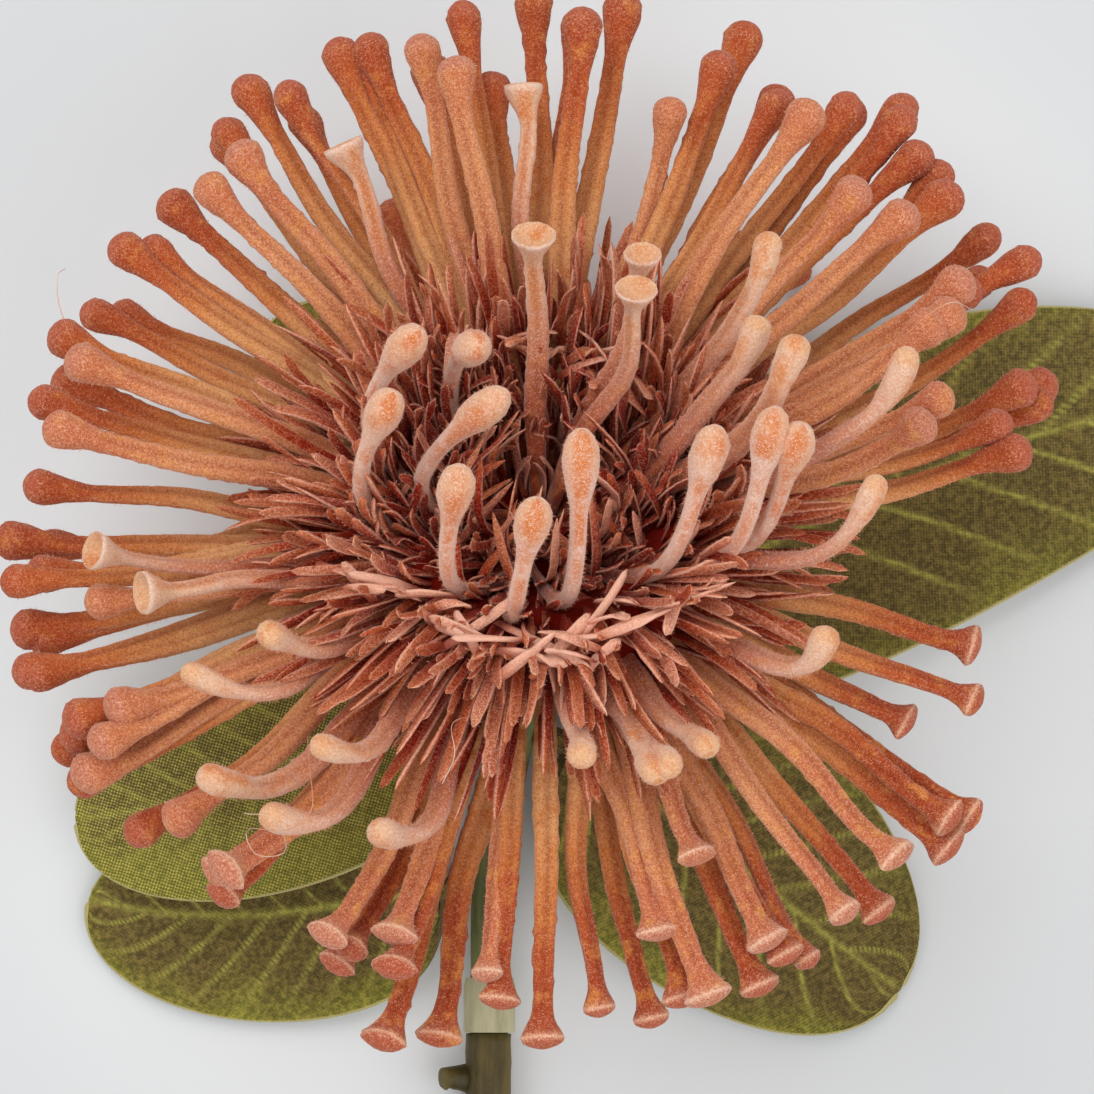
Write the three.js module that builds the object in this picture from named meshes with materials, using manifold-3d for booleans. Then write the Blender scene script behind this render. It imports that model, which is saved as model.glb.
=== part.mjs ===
// A pincushion protea flower as cut, lying on a surface: a bloom of long club-tipped styles and curled
// strips on one receptacle, its pale centre pins, a bract cup, a stem in two lengths with a collar, and
// five leaves. Millimetres, +Z up. The stem runs along -Y and a bent neck turns the bloom upwards.
import * as THREE from 'three';
import { mergeVertices } from 'three/addons/utils/BufferGeometryUtils.js';
import Module from 'manifold-3d';

const wasm = await Module();
wasm.setup();

// ---- driving sizes -------------------------------------------------------------------------------
const BLOOM_HEIGHT = 32; // centre of the receptacle above the surface
const BLOOM_PITCH = 62; // degrees that the bloom's axis rises from +Y
const GAP = 0.3; // clearance between pieces that touch

const RECEPTACLE = { radius: 19, top: 10.2, base: -7.5, socketRadius: 8, socketFloor: 5 };
const CUP = { rim: 10.5, rimAt: -6.6, foot: 3.4, footAt: -13.5 };

const STYLE_SIDES = 4;
const PIN_SIDES = 5;
const STYLE = { root: 1.4, waist: 1.18, foot: 2.15, rootDepth: 12, out: 0.33, back: 0.28 };
const PALE_STYLE = { root: 1.3, waist: 1.15, foot: 1.8, rootDepth: 10, out: 0.48, back: 0.24 };
const PIN = { root: 1.1, waist: 1.0, club: 1.85 };
const FOOT_WIDTH = 1.12; // the foot of a style is an oval: wider than it is thick
const FOOT_THICKNESS = 0.88;

const STRIP_COUNT = 72;
const STRIP = { width: 0.85, shortest: 9, longest: 14, rootDepth: 14 };

const UPPER_STEM = { radius: 2.1, end: -50.7 };
const LOWER_STEM = { radius: 2.45, end: -165 };
const COLLAR = { inner: 2.4, outer: 2.8, start: -44.7, end: -50 };

const TUBE_HALF_SIDES = 5;
const LEAF_THICKNESS = 0.8;
const LEAF_ROWS = 13;
const LEAF_COLUMNS = 4;

const SURFACE_CLEAR = 9; // styles that don't rest on the surface end no lower than this
const FLAT_SPOT = 0.2; // how much of a resting style's foot is pressed flat

// Styles: azimuth in degrees round the bloom's axis, angle from that axis, reach from its centre, and how
// far the end bends outwards, or inwards where that is negative. Azimuth 90 is the lower side.
const OUTER_STYLES = [
  [-179, 93, 53.1, -14], [-176, 90, 55.3, -8], [-175, 98, 55.6, -6], [-171, 99, 54.1, -8],
  [-169, 97, 55.8, -8], [-165, 97, 54.8, -10], [-159, 93, 52.2, -8], [-159, 98, 53, -6],
  [-156, 101, 54.5, -6], [-151, 99, 54.3, -10], [-144, 104, 52.1, -14], [-128, 101, 49.9, -30],
  [-118, 109, 49.2, -20], [-116, 104, 47.6, -36], [-110, 109, 54.8, -26], [-108, 101, 48.6, -34],
  [-101, 113, 53, -12], [-96, 105, 49.5, 2], [-87, 106, 53.2, 2], [-80, 110, 49.8, 8],
  [-76, 116, 51.4, 0], [-73, 107, 50.9, 2], [-70, 113, 49.2, 16], [-63, 107, 52.5, 4],
  [-60, 104, 51.2, 4], [-54, 107, 52.3, 4], [-49, 105, 52.8, 4], [-38, 103, 53.6, 0],
  [-36, 99, 52.1, -4], [-31, 104, 53.7, -6], [-28, 98, 43.1, 0], [-24, 92, 48.8, 0],
  [-15, 94, 46.8, 4], [5, 81, 51.6, -16], [13, 79, 50.2, -22], [14, 81, 54, -24], [18, 85, 55.8, -20],
  [19, 89, 58.3, -26], [23, 80, 58, -34], [26, 78, 53.6, -10], [29, 83, 56.8, -10], [30, 80, 61.1, 0],
  [35, 84, 61.1, -14], [38, 74, 57.8, -4], [43, 77, 59.8, -6], [45, 75, 59.3, 0], [47, 75, 62.7, 0],
  [49, 74, 61.2, -8], [51, 74, 58.9, -10], [55, 72, 58.6, -10], [58, 72, 55.9, -10], [60, 66, 53.7, 6],
  [68, 66, 55.4, -4], [69, 71, 60.9, -4], [83, 70, 60.7, 4], [84, 62, 56.2, 0], [87, 70, 58.1, 4],
  [89, 69, 60.5, 0], [95, 72, 51.9, 4], [98, 68, 58.9, 0], [104, 72, 54.7, 6], [106, 71, 58.3, 6],
  [110, 72, 59.1, 4], [112, 73, 57, 8], [117, 80, 56.7, 6], [118, 70, 56, 0], [122, 74, 59.9, 4],
  [126, 76, 57.5, 4], [129, 83, 59.5, 8], [139, 80, 55.5, 4], [143, 80, 53.3, 0], [145, 91, 54.9, 4],
  [146, 79, 55.4, 0], [150, 88, 56.3, 0], [156, 89, 55, -4], [157, 82, 55.7, -4], [166, 83, 54.8, -4],
  [172, 100, 54.2, -8], [175, 89, 53.8, -12], [178, 93, 56.6, -14],
];
const MIDDLE_STYLES = [
  [-167, 88, 46.9, -4], [-156, 91, 48, -12], [-155, 92, 50.9, -12], [-154, 97, 53.6, -12],
  [-144, 100, 48.3, -14], [-135, 100, 49, -20], [-130, 94, 49.1, -34], [-119, 100, 48.2, -26],
  [-108, 102, 45.3, -20], [-96, 104, 47.1, 0], [-76, 102, 44.6, 4], [-68, 104, 52, 8],
  [-67, 94, 40.1, 4], [-58, 102, 49.4, 4], [-51, 96, 52.3, 4], [-43, 92, 52, 4], [4, 65, 43.7, -24],
  [7, 67, 45.6, -22], [17, 64, 47.6, -16], [21, 66, 49.8, -16], [24, 69, 52.2, -16], [36, 66, 51.8, 4],
  [38, 62, 49.9, -8], [51, 62, 53.6, 4], [72, 62, 48.3, -30], [100, 56, 50.6, 4], [108, 62, 54.4, 2],
  [129, 67, 52, 4], [137, 68, 51.4, 0], [163, 74, 51.9, -4], [172, 77, 52, -6],
];
const INNER_STYLES = [
  [-172, 80, 46.2, -26], [-162, 79, 42.3, -10], [-147, 76, 42.5, -46], [-139, 66, 37, -40],
  [-137, 88, 44.1, -44], [-131, 87, 43.3, -50], [-128, 77, 37.7, -50], [-112, 86, 39.5, -46],
  [-84, 75, 33.5, -10], [-73, 78, 35.8, -14], [-69, 77, 36.2, -16], [-63, 78, 35, -20],
  [-35, 69, 37.1, -60], [-16, 55, 42.1, -62], [7, 51, 47.1, -62], [10, 40, 40, -66],
  [18, 40, 36.4, -60], [39, 46, 41.1, -56], [43, 24, 33.5, -6], [53, 32, 34.3, -6], [89, 28, 34.6, -8],
  [94, 60, 47.6, 0], [122, 62, 46, -10],
];
// The lowest styles, which the bloom rests on.
const RESTING_STYLES = [
  [58, 102, 55, 4], [64, 104, 56, 4], [87, 101, 52, 4], [93, 101, 54, 4], [105, 103, 55, 4],
  [110, 103, 57, 4],
];
// Centre pins: azimuth and radius of the bow, then azimuth, radius and height of the tip.
const PINS = [
  [-168, 17, -177, 14, 27], [165, 17, 152, 13, 28], [130, 13, 143, 7, 28], [-171, 12.5, -164, 3, 27],
  [-124, 15, -130, 11.5, 26], [-98, 15.8, -89, 12, 25], [-77, 14.8, -51, 7, 27.5],
  [-42, 15.6, -13, 18.2, 26], [-30, 20, -8, 23.7, 28], [-22, 21, -10, 26.4, 27],
];
// The neck's middle line below the cup, down to where the stem lies on the surface.
const NECK_POINTS = [
  [-1.4, -14.4, 9.4], [-3.4, -23, 4.5], [-5, -33, 2.9], [-5.3, UPPER_STEM.end, 2.85],
];
// Leaves: the stalk's place along the upper stem from 0 to 1, its heading in degrees and its run, then
// two more points of the midrib, the half width, and how far the waved margins are lifted.
const LEAVES = [
  { name: 'leaf_right_upper', at: 0.142, heading: 34, run: 15, belly: [45, 17, 1], tip: [77, 19, 1.6],
    half: 17, lift: 1.6, phase: 0.4 },
  { name: 'leaf_right_lower', at: 0.34, heading: -30, run: 11, belly: [25, -36, 2.5], tip: [39.5, -46, 1.2],
    half: 16, lift: 1.4, phase: 2.1 },
  { name: 'leaf_left_front', at: 0.274, heading: 196, run: 13, belly: [-33, -27, 9.5], tip: [-50, -27.5, 6.5],
    half: 13.5, lift: 1.2, phase: 4.0 },
  { name: 'leaf_left_back', at: 0.7, heading: 184, run: 9, belly: [-33, -41, 0.8], tip: [-49, -36, 1.2],
    half: 12, lift: 1.0, phase: 5.2 },
  { name: 'leaf_left_upper', at: 0.076, heading: 118, run: 8, belly: [-19.5, 16, 1], tip: [-28.5, 28.5, 1.2],
    half: 11.5, lift: 1.2, phase: 1.3 },
];
const CUT_NUBS = [[-1, -55.5], [1, -92], [-1, -128]]; // side of the stem, place along Y
const SEED = 4217;

// ---- small helpers -------------------------------------------------------------------------------
const rad = THREE.MathUtils.degToRad;
const vec = (x, y, z) => new THREE.Vector3(x, y, z);

// Park-Miller draws, the same on every run.
let state = SEED;
function draw() {
  state = (state * 16807) % 2147483647;
  return state / 2147483647;
}
const span = (low, high) => low + (high - low) * draw();

// A direction in the bloom's own frame: its third axis is the bloom's axis.
function toward(azimuth, angle) {
  const a = rad(azimuth);
  const p = rad(angle);
  return vec(Math.sin(p) * Math.cos(a), Math.sin(p) * Math.sin(a), Math.cos(p));
}

// From the bloom's frame to the lying flower's.
const pitch = rad(BLOOM_PITCH);
function placed(point) {
  return vec(
    point.x,
    point.y * Math.sin(pitch) + point.z * Math.cos(pitch),
    point.z * Math.sin(pitch) - point.y * Math.cos(pitch) + BLOOM_HEIGHT,
  );
}

// Welds a geometry to positions only and drops the triangles that a pole leaves flat.
function welded(geometry) {
  const bare = geometry.clone();
  bare.deleteAttribute('normal');
  bare.deleteAttribute('uv');
  const merged = mergeVertices(bare, 1e-4);
  const index = merged.getIndex().array;
  const kept = [];
  for (let i = 0; i < index.length; i += 3) {
    const [a, b, c] = [index[i], index[i + 1], index[i + 2]];
    if (a !== b && b !== c && c !== a) kept.push(a, b, c);
  }
  merged.setIndex(kept);
  return merged;
}

function solid(geometry) {
  const shape = welded(geometry);
  return new wasm.Manifold(new wasm.Mesh({
    numProp: 3,
    vertProperties: new Float32Array(shape.getAttribute('position').array),
    triVerts: new Uint32Array(shape.getIndex().array),
  }));
}

function geometryOf(manifold) {
  const mesh = manifold.getMesh();
  const geometry = new THREE.BufferGeometry();
  geometry.setAttribute('position', new THREE.BufferAttribute(new Float32Array(mesh.vertProperties), 3));
  geometry.setIndex(new THREE.BufferAttribute(new Uint32Array(mesh.triVerts), 1));
  geometry.computeVertexNormals();
  return geometry;
}

// The largest body of a solid, without the scraps that a cut leaves.
function largest(manifold) {
  const bodies = manifold.decompose();
  return bodies.reduce((best, body) => (body.volume() > best.volume() ? body : best));
}

// Turns a lathe profile of [radius, place along the curve] into a rod that follows the curve.
// The last part of the rod is squashed to an oval.
function rod(curve, profile, sides, turn = 0, ovalFrom = 2) {
  const points = profile.map(([radius, place]) => new THREE.Vector2(radius, place));
  const lathe = new THREE.LatheGeometry(points, sides);
  const position = lathe.getAttribute('position');
  const reference = curve.getTangent(0).cross(vec(0.31, 0.17, 0.93)).normalize();
  for (let i = 0; i < position.count; i += 1) {
    const place = THREE.MathUtils.clamp(position.getY(i), 0, 1);
    const tangent = curve.getTangent(place);
    const side = reference.clone().addScaledVector(tangent, -reference.dot(tangent)).normalize();
    const normal = tangent.clone().cross(side);
    const oval = place > ovalFrom ? 1 : 0;
    const angle = Math.atan2(position.getX(i), position.getZ(i)) + turn;
    const radius = Math.hypot(position.getX(i), position.getZ(i));
    const across = radius * Math.cos(angle) * (oval ? FOOT_WIDTH : 1);
    const along = radius * Math.sin(angle) * (oval ? FOOT_THICKNESS : 1);
    const point = curve.getPoint(place).addScaledVector(side, across).addScaledVector(normal, along);
    position.setXYZ(i, point.x, point.y, point.z);
  }
  return lathe;
}

// ---- the bloom's parts ---------------------------------------------------------------------------
const styleProfile = (size) => [
  [0, 0], [size.root * 0.72, 0], [size.root, 0.45], [size.waist, 0.86], [size.foot, 0.97], [0, 1],
];

// Lowers or lifts the far end of a style.
function shiftEnd(points, rise) {
  points[3].z += rise;
  points[2].z += rise * 0.8;
}

// A style's rod. A resting one is bent until its foot meets the surface, and pressed flat there.
function styleRod(points, size, turn, resting) {
  const shape = () => rod(new THREE.CubicBezierCurve3(...points), styleProfile(size), STYLE_SIDES, turn, 0.9);
  if (!resting) {
    shiftEnd(points, Math.max(0, SURFACE_CLEAR - points[3].z));
    return shape();
  }
  for (let round = 0; round < 4; round += 1) {
    const geometry = shape();
    geometry.computeBoundingBox();
    shiftEnd(points, -FLAT_SPOT - geometry.boundingBox.min.z);
  }
  const geometry = shape();
  const position = geometry.getAttribute('position');
  for (let i = 0; i < position.count; i += 1) position.setZ(i, Math.max(position.getZ(i), 0));
  return geometry;
}

// Styles of one whorl. Each leaves the receptacle bent the other way from its end.
function whorl(styles, size, leave, resting = false) {
  return styles.map(([azimuth, angle, reach, arrive]) => {
    const start = angle + leave - 0.4 * arrive + span(-4, 4);
    const sway = span(-3, 3);
    const turn = span(0, Math.PI);
    const root = toward(azimuth, Math.min(angle, 90)).multiplyScalar(size.rootDepth);
    const tip = toward(azimuth + sway, angle).multiplyScalar(reach);
    const points = [
      root,
      root.clone().addScaledVector(toward(azimuth, start), reach * size.out),
      tip.clone().addScaledVector(toward(azimuth, angle + arrive), -reach * size.back),
      tip,
    ];
    return styleRod(points.map(placed), size, turn, resting);
  });
}

// Thin pointed strips round the rim of the receptacle, curling over one another.
function strips() {
  const rods = [];
  for (let i = 0; i < STRIP_COUNT; i += 1) {
    const share = (i + 0.5) / STRIP_COUNT;
    const azimuth = i * 137.508 + span(-6, 6);
    const angle = 26 + 52 * share + span(-6, 6);
    const length = span(STRIP.shortest, STRIP.longest);
    const curl = span(-46, 34);
    const sway = span(-22, 22);
    const root = toward(azimuth, 50 + 28 * share).multiplyScalar(STRIP.rootDepth);
    const middle = root.clone().addScaledVector(toward(azimuth + sway * 0.4, angle), length * 0.6);
    const tip = middle.clone().addScaledVector(toward(azimuth + sway * 2.4, angle + curl), length * 0.55);
    const curve = new THREE.QuadraticBezierCurve3(placed(root), placed(middle), placed(tip));
    const profile = [[0, 0], [STRIP.width, 0], [STRIP.width, 0.5], [0, 1]];
    rods.push(rod(curve, profile, 3, span(0, 2)));
  }
  return rods;
}

// A pin bows outwards from the plug and then stands up to a round club.
function pin([bowAzimuth, bowRadius, tipAzimuth, tipRadius, tipHeight], extra) {
  const flat = (azimuth, radius, height) => vec(
    radius * Math.cos(rad(azimuth)), radius * Math.sin(rad(azimuth)), height);
  const root = flat(bowAzimuth, 5.4, 9);
  const bow = flat(bowAzimuth, bowRadius * 1.26, 11.5);
  const tip = flat(tipAzimuth, tipRadius, tipHeight);
  const rise = flat(bowAzimuth, bowRadius * 1.1, tipHeight * 0.62);
  const curve = new THREE.CubicBezierCurve3(placed(root), placed(bow), placed(rise), placed(tip));
  const profile = [
    [0, 0], [PIN.root + extra, 0], [PIN.root + extra, 0.26], [PIN.waist + extra, 0.5],
    [PIN.waist + extra, 0.72], [PIN.club * 0.86 + extra, 0.86], [PIN.club + extra, 0.94],
    [PIN.club * 0.5 + extra, 0.995], [0, 1],
  ];
  return rod(curve, profile, PIN_SIDES);
}

// A lathe shape on the bloom's axis, from [radius, height] pairs.
function turned(profile, sides) {
  const geometry = new THREE.LatheGeometry(profile.map(([r, h]) => new THREE.Vector2(r, h)), sides);
  const position = geometry.getAttribute('position');
  for (let i = 0; i < position.count; i += 1) {
    // A lathe turns about its Y, which is the bloom's axis here.
    const point = placed(vec(position.getX(i), -position.getZ(i), position.getY(i)));
    position.setXYZ(i, point.x, point.y, point.z);
  }
  return geometry;
}

function receptacle() {
  const { radius, top, base, socketRadius, socketFloor } = RECEPTACLE;
  return turned([
    [0, base], [radius * 0.45, base + 0.6], [radius * 0.82, base + 3.2], [radius, 0.5],
    [radius * 0.95, top * 0.5], [radius * 0.78, top * 0.86], [radius * 0.56, top],
    [socketRadius, top - 0.6], [socketRadius, socketFloor], [0, socketFloor],
  ], 18);
}

function plug(extra) {
  const { top, socketRadius, socketFloor } = RECEPTACLE;
  const radius = socketRadius - GAP + extra;
  const floor = socketFloor + GAP - extra;
  return turned([
    [0, floor], [radius, floor], [radius, top - 0.8], [radius * 0.72, top + 0.2 + extra],
    [0, top + 0.6 + extra],
  ], 14);
}

function bractCup() {
  const { rim, rimAt, foot, footAt } = CUP;
  return turned([
    [0, footAt], [foot, footAt], [foot * 1.5, footAt + 1.9], [rim * 0.86, rimAt - 1.6], [rim, rimAt],
    [rim * 0.78, rimAt - 0.2 - GAP], [rim * 0.4, rimAt - 1.4 - GAP], [0, rimAt - 1.6 - GAP],
  ], 20);
}

// ---- stem and leaves -----------------------------------------------------------------------------
function tube(curve, radius, steps) {
  const section = new THREE.Shape();
  section.absarc(0, 0, radius, 0, Math.PI * 2);
  return new THREE.ExtrudeGeometry(section, { steps, curveSegments: TUBE_HALF_SIDES, extrudePath: curve });
}

const axisPoint = (height) => placed(vec(0, 0, height));

function neckCurve() {
  const top = CUP.footAt - GAP;
  const straight = [0, -1.5, -3.5].map((step) => axisPoint(top + step));
  return new THREE.CatmullRomCurve3([...straight, ...NECK_POINTS.map((p) => vec(...p))]);
}

// The lower stem lies on the surface and goes on from the upper one, just past the collar.
function lowerStem() {
  const { radius, end } = LOWER_STEM;
  const start = UPPER_STEM.end - GAP;
  const points = [
    vec(-5.3, start, radius + 0.35), vec(-5.6, start - 22, radius + 0.2),
    vec(-6.6, (start + end) / 2, radius + 0.05), vec(-5.2, end, radius),
  ];
  let body = solid(tube(new THREE.CatmullRomCurve3(points), radius, 18));
  for (const [side, y] of CUT_NUBS) {
    const nub = new THREE.CylinderGeometry(1.0, 1.7, 4.6, 8);
    nub.rotateZ(-side * rad(62));
    nub.translate(-5.7 + side * (radius + 0.2), y, radius + 0.5);
    body = body.add(solid(nub));
  }
  return geometryOf(body);
}

function collar() {
  const { inner, outer, start, end } = COLLAR;
  const profile = [
    [inner, end], [outer, end], [outer, start - 0.8], [outer - 0.25, start], [inner, start], [inner, end],
  ];
  const geometry = new THREE.LatheGeometry(profile.map(([r, y]) => new THREE.Vector2(r, y)), 16);
  geometry.translate(-5.25, 0, outer);
  return geometry;
}

// A closed leaf: the same grid on both faces, a stalk that widens into the blade, lifted waved margins.
function leaf({ at, heading, run, belly, tip, half, lift, phase }) {
  const neck = neckCurve();
  const along = neck.getTangentAt(at);
  const out = vec(Math.cos(rad(heading)), Math.sin(rad(heading)), 0);
  out.addScaledVector(along, -out.dot(along)).normalize();
  const from = neck.getPointAt(at).addScaledVector(out, UPPER_STEM.radius + GAP);
  const bend = from.clone().addScaledVector(out, run);
  const curve = new THREE.CubicBezierCurve3(from, bend, vec(...belly), vec(...tip));
  const stalk = 0.1;
  const vertices = [];
  for (const face of [1, -1]) {
    for (let row = 0; row <= LEAF_ROWS; row += 1) {
      const place = row / LEAF_ROWS;
      const tangent = curve.getTangent(place);
      const side = tangent.clone().cross(vec(0, 0, 1)).normalize();
      const normal = side.clone().cross(tangent);
      const blade = THREE.MathUtils.clamp((place - stalk) / (1 - stalk), 0, 1);
      const arc = 1 - (2 * blade ** 0.86 - 1) ** 2;
      const width = Math.max(half * Math.max(arc, 0) ** 0.46, place < 0.5 ? 1 : 2.8);
      const thick = THREE.MathUtils.lerp(1.8, LEAF_THICKNESS, Math.min(blade * 6, 1));
      for (let column = 0; column <= LEAF_COLUMNS; column += 1) {
        const across = (2 * column) / LEAF_COLUMNS - 1;
        const wave = Math.sin(place * 11 + phase + across) * 0.45;
        const raised = (lift + wave) * across * across * Math.min(1, width / half + 0.1);
        const point = curve.getPoint(place)
          .addScaledVector(side, across * width)
          .addScaledVector(normal, raised + (face * thick) / 2);
        point.z = Math.max(point.z, face > 0 ? LEAF_THICKNESS * 0.8 : 0);
        vertices.push(point.x, point.y, point.z);
      }
    }
  }
  const columns = LEAF_COLUMNS + 1;
  const under = columns * (LEAF_ROWS + 1);
  const index = [];
  const quad = (a, b, c, d) => index.push(a, b, c, a, c, d);
  for (let row = 0; row < LEAF_ROWS; row += 1) {
    for (let column = 0; column < LEAF_COLUMNS; column += 1) {
      const a = row * columns + column;
      quad(a, a + 1, a + 1 + columns, a + columns);
      const b = a + under;
      index.push(b, b + 1 + columns, b + 1, b, b + columns, b + 1 + columns);
    }
  }
  for (let row = 0; row < LEAF_ROWS; row += 1) {
    const a = row * columns;
    const b = a + LEAF_COLUMNS;
    quad(a, a + columns, a + columns + under, a + under);
    quad(b, b + under, b + columns + under, b + columns);
  }
  const last = LEAF_ROWS * columns;
  for (let column = 0; column < LEAF_COLUMNS; column += 1) {
    quad(column, column + under, column + 1 + under, column + 1);
    quad(last + column, last + column + 1, last + column + 1 + under, last + column + under);
  }
  const geometry = new THREE.BufferGeometry();
  geometry.setAttribute('position', new THREE.Float32BufferAttribute(vertices, 3));
  geometry.setIndex(index);
  geometry.computeVertexNormals();
  return geometry;
}

// ---- assembly ------------------------------------------------------------------------------------
const FINISH = {
  style: { color: 0xc0683a, roughness: 0.95 },
  pin: { color: 0xe6b896, roughness: 0.95 },
  cup: { color: 0x7a5a35, roughness: 0.9 },
  upperStem: { color: 0x8a8f55, roughness: 0.8 },
  collar: { color: 0xa3967a, roughness: 0.8 },
  lowerStem: { color: 0x4a3c1a, roughness: 0.75 },
  leaf: { color: 0x76692f, roughness: 0.85 },
};

const flower = new THREE.Group();
function add(name, geometry, finish) {
  const material = new THREE.MeshStandardMaterial({ metalness: 0, ...FINISH[finish] });
  const mesh = new THREE.Mesh(geometry, material);
  mesh.name = name;
  flower.add(mesh);
}

const bloomRods = [
  ...whorl(OUTER_STYLES, STYLE, -6),
  ...whorl(RESTING_STYLES, STYLE, -8, true),
  ...whorl(MIDDLE_STYLES, STYLE, -2),
  ...whorl(INNER_STYLES, PALE_STYLE, 0),
  ...strips(),
];
const bloom = wasm.Manifold.union([receptacle(), ...bloomRods].map(solid));
const centre = wasm.Manifold.union([plug(0), ...PINS.map((one) => pin(one, 0))].map(solid));
const centreSpace = wasm.Manifold.union([plug(0.25), ...PINS.map((one) => pin(one, GAP))].map(solid));

add('bloom_styles', geometryOf(largest(bloom.subtract(centreSpace))), 'style');
add('centre_pins', geometryOf(largest(centre)), 'pin');
add('bract_cup', welded(bractCup()), 'cup');
add('upper_stem', welded(tube(neckCurve(), UPPER_STEM.radius, 22)), 'upperStem');
add('collar', welded(collar()), 'collar');
add('lower_stem', lowerStem(), 'lowerStem');
for (const one of LEAVES) add(one.name, leaf(one), 'leaf');

// The origin is the middle of the flower's outline on the surface.
const box = new THREE.Box3().setFromObject(flower, true);
const middle = box.getCenter(vec(0, 0, 0));
flower.position.set(-middle.x, -middle.y, -box.min.z);

export default flower;
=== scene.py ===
"""A pincushion protea as cut, lying on a pale floor.

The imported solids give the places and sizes. Each class here models one part of the flower as a finer
mesh over its solid and dresses it: flocked styles, pins and strips, a cup of bracts, a moulded stem in
two lengths with a collar, and five leaves of woven cloth.
"""

from __future__ import annotations

import logging
import math
from dataclasses import dataclass
from enum import Enum, IntEnum
from typing import Any, Sequence

import bpy
import numpy as np
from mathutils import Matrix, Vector


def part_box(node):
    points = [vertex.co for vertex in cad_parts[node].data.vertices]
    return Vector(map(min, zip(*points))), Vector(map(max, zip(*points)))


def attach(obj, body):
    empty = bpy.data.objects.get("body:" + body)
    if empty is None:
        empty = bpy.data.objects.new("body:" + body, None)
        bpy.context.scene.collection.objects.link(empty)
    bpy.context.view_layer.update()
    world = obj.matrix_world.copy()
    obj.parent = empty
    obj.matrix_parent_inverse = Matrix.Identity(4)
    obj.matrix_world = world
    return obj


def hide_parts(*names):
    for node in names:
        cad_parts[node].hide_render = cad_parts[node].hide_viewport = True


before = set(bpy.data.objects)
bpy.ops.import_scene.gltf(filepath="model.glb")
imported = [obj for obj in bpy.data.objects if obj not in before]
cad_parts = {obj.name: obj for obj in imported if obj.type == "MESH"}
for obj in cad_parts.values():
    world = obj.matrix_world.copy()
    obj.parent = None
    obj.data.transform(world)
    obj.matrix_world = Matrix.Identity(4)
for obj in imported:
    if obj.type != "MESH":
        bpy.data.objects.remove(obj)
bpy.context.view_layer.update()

LOG = logging.getLogger("protea")
MM = 0.001
GOLDEN_ANGLE = 137.508  # degrees between one strip and the next round the axis

# ---- sizes shared with the solids, in millimetres -------------------------------------------------
BLOOM_HEIGHT = 32.0  # centre of the receptacle above the surface
BLOOM_PITCH = 62.0  # degrees that the bloom's axis rises from +Y
GAP = 0.3  # between one piece and the next
SURFACE_CLEAR = 9.0  # styles that don't rest on the surface end no lower than this
FLAT_SPOT = 0.2  # how much of a resting style's foot is pressed flat
CUP_FOOT_AT = -13.5  # place along the bloom's axis
UPPER_STEM_RADIUS = 2.1
UPPER_STEM_END = -50.7  # the stem's ends and the collar's are places along Y
LOWER_STEM_RADIUS = 2.45
LOWER_STEM_START = UPPER_STEM_END - GAP
LOWER_STEM_END = -165.0
COLLAR_X = -5.25
COLLAR_START = -44.7
COLLAR_END = -50.0
COLLAR_LAP = 0.62  # how far the sleeve's skin reaches on over the joint
COLLAR_OUTER = 2.8
COLLAR_INNER = 2.4

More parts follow.
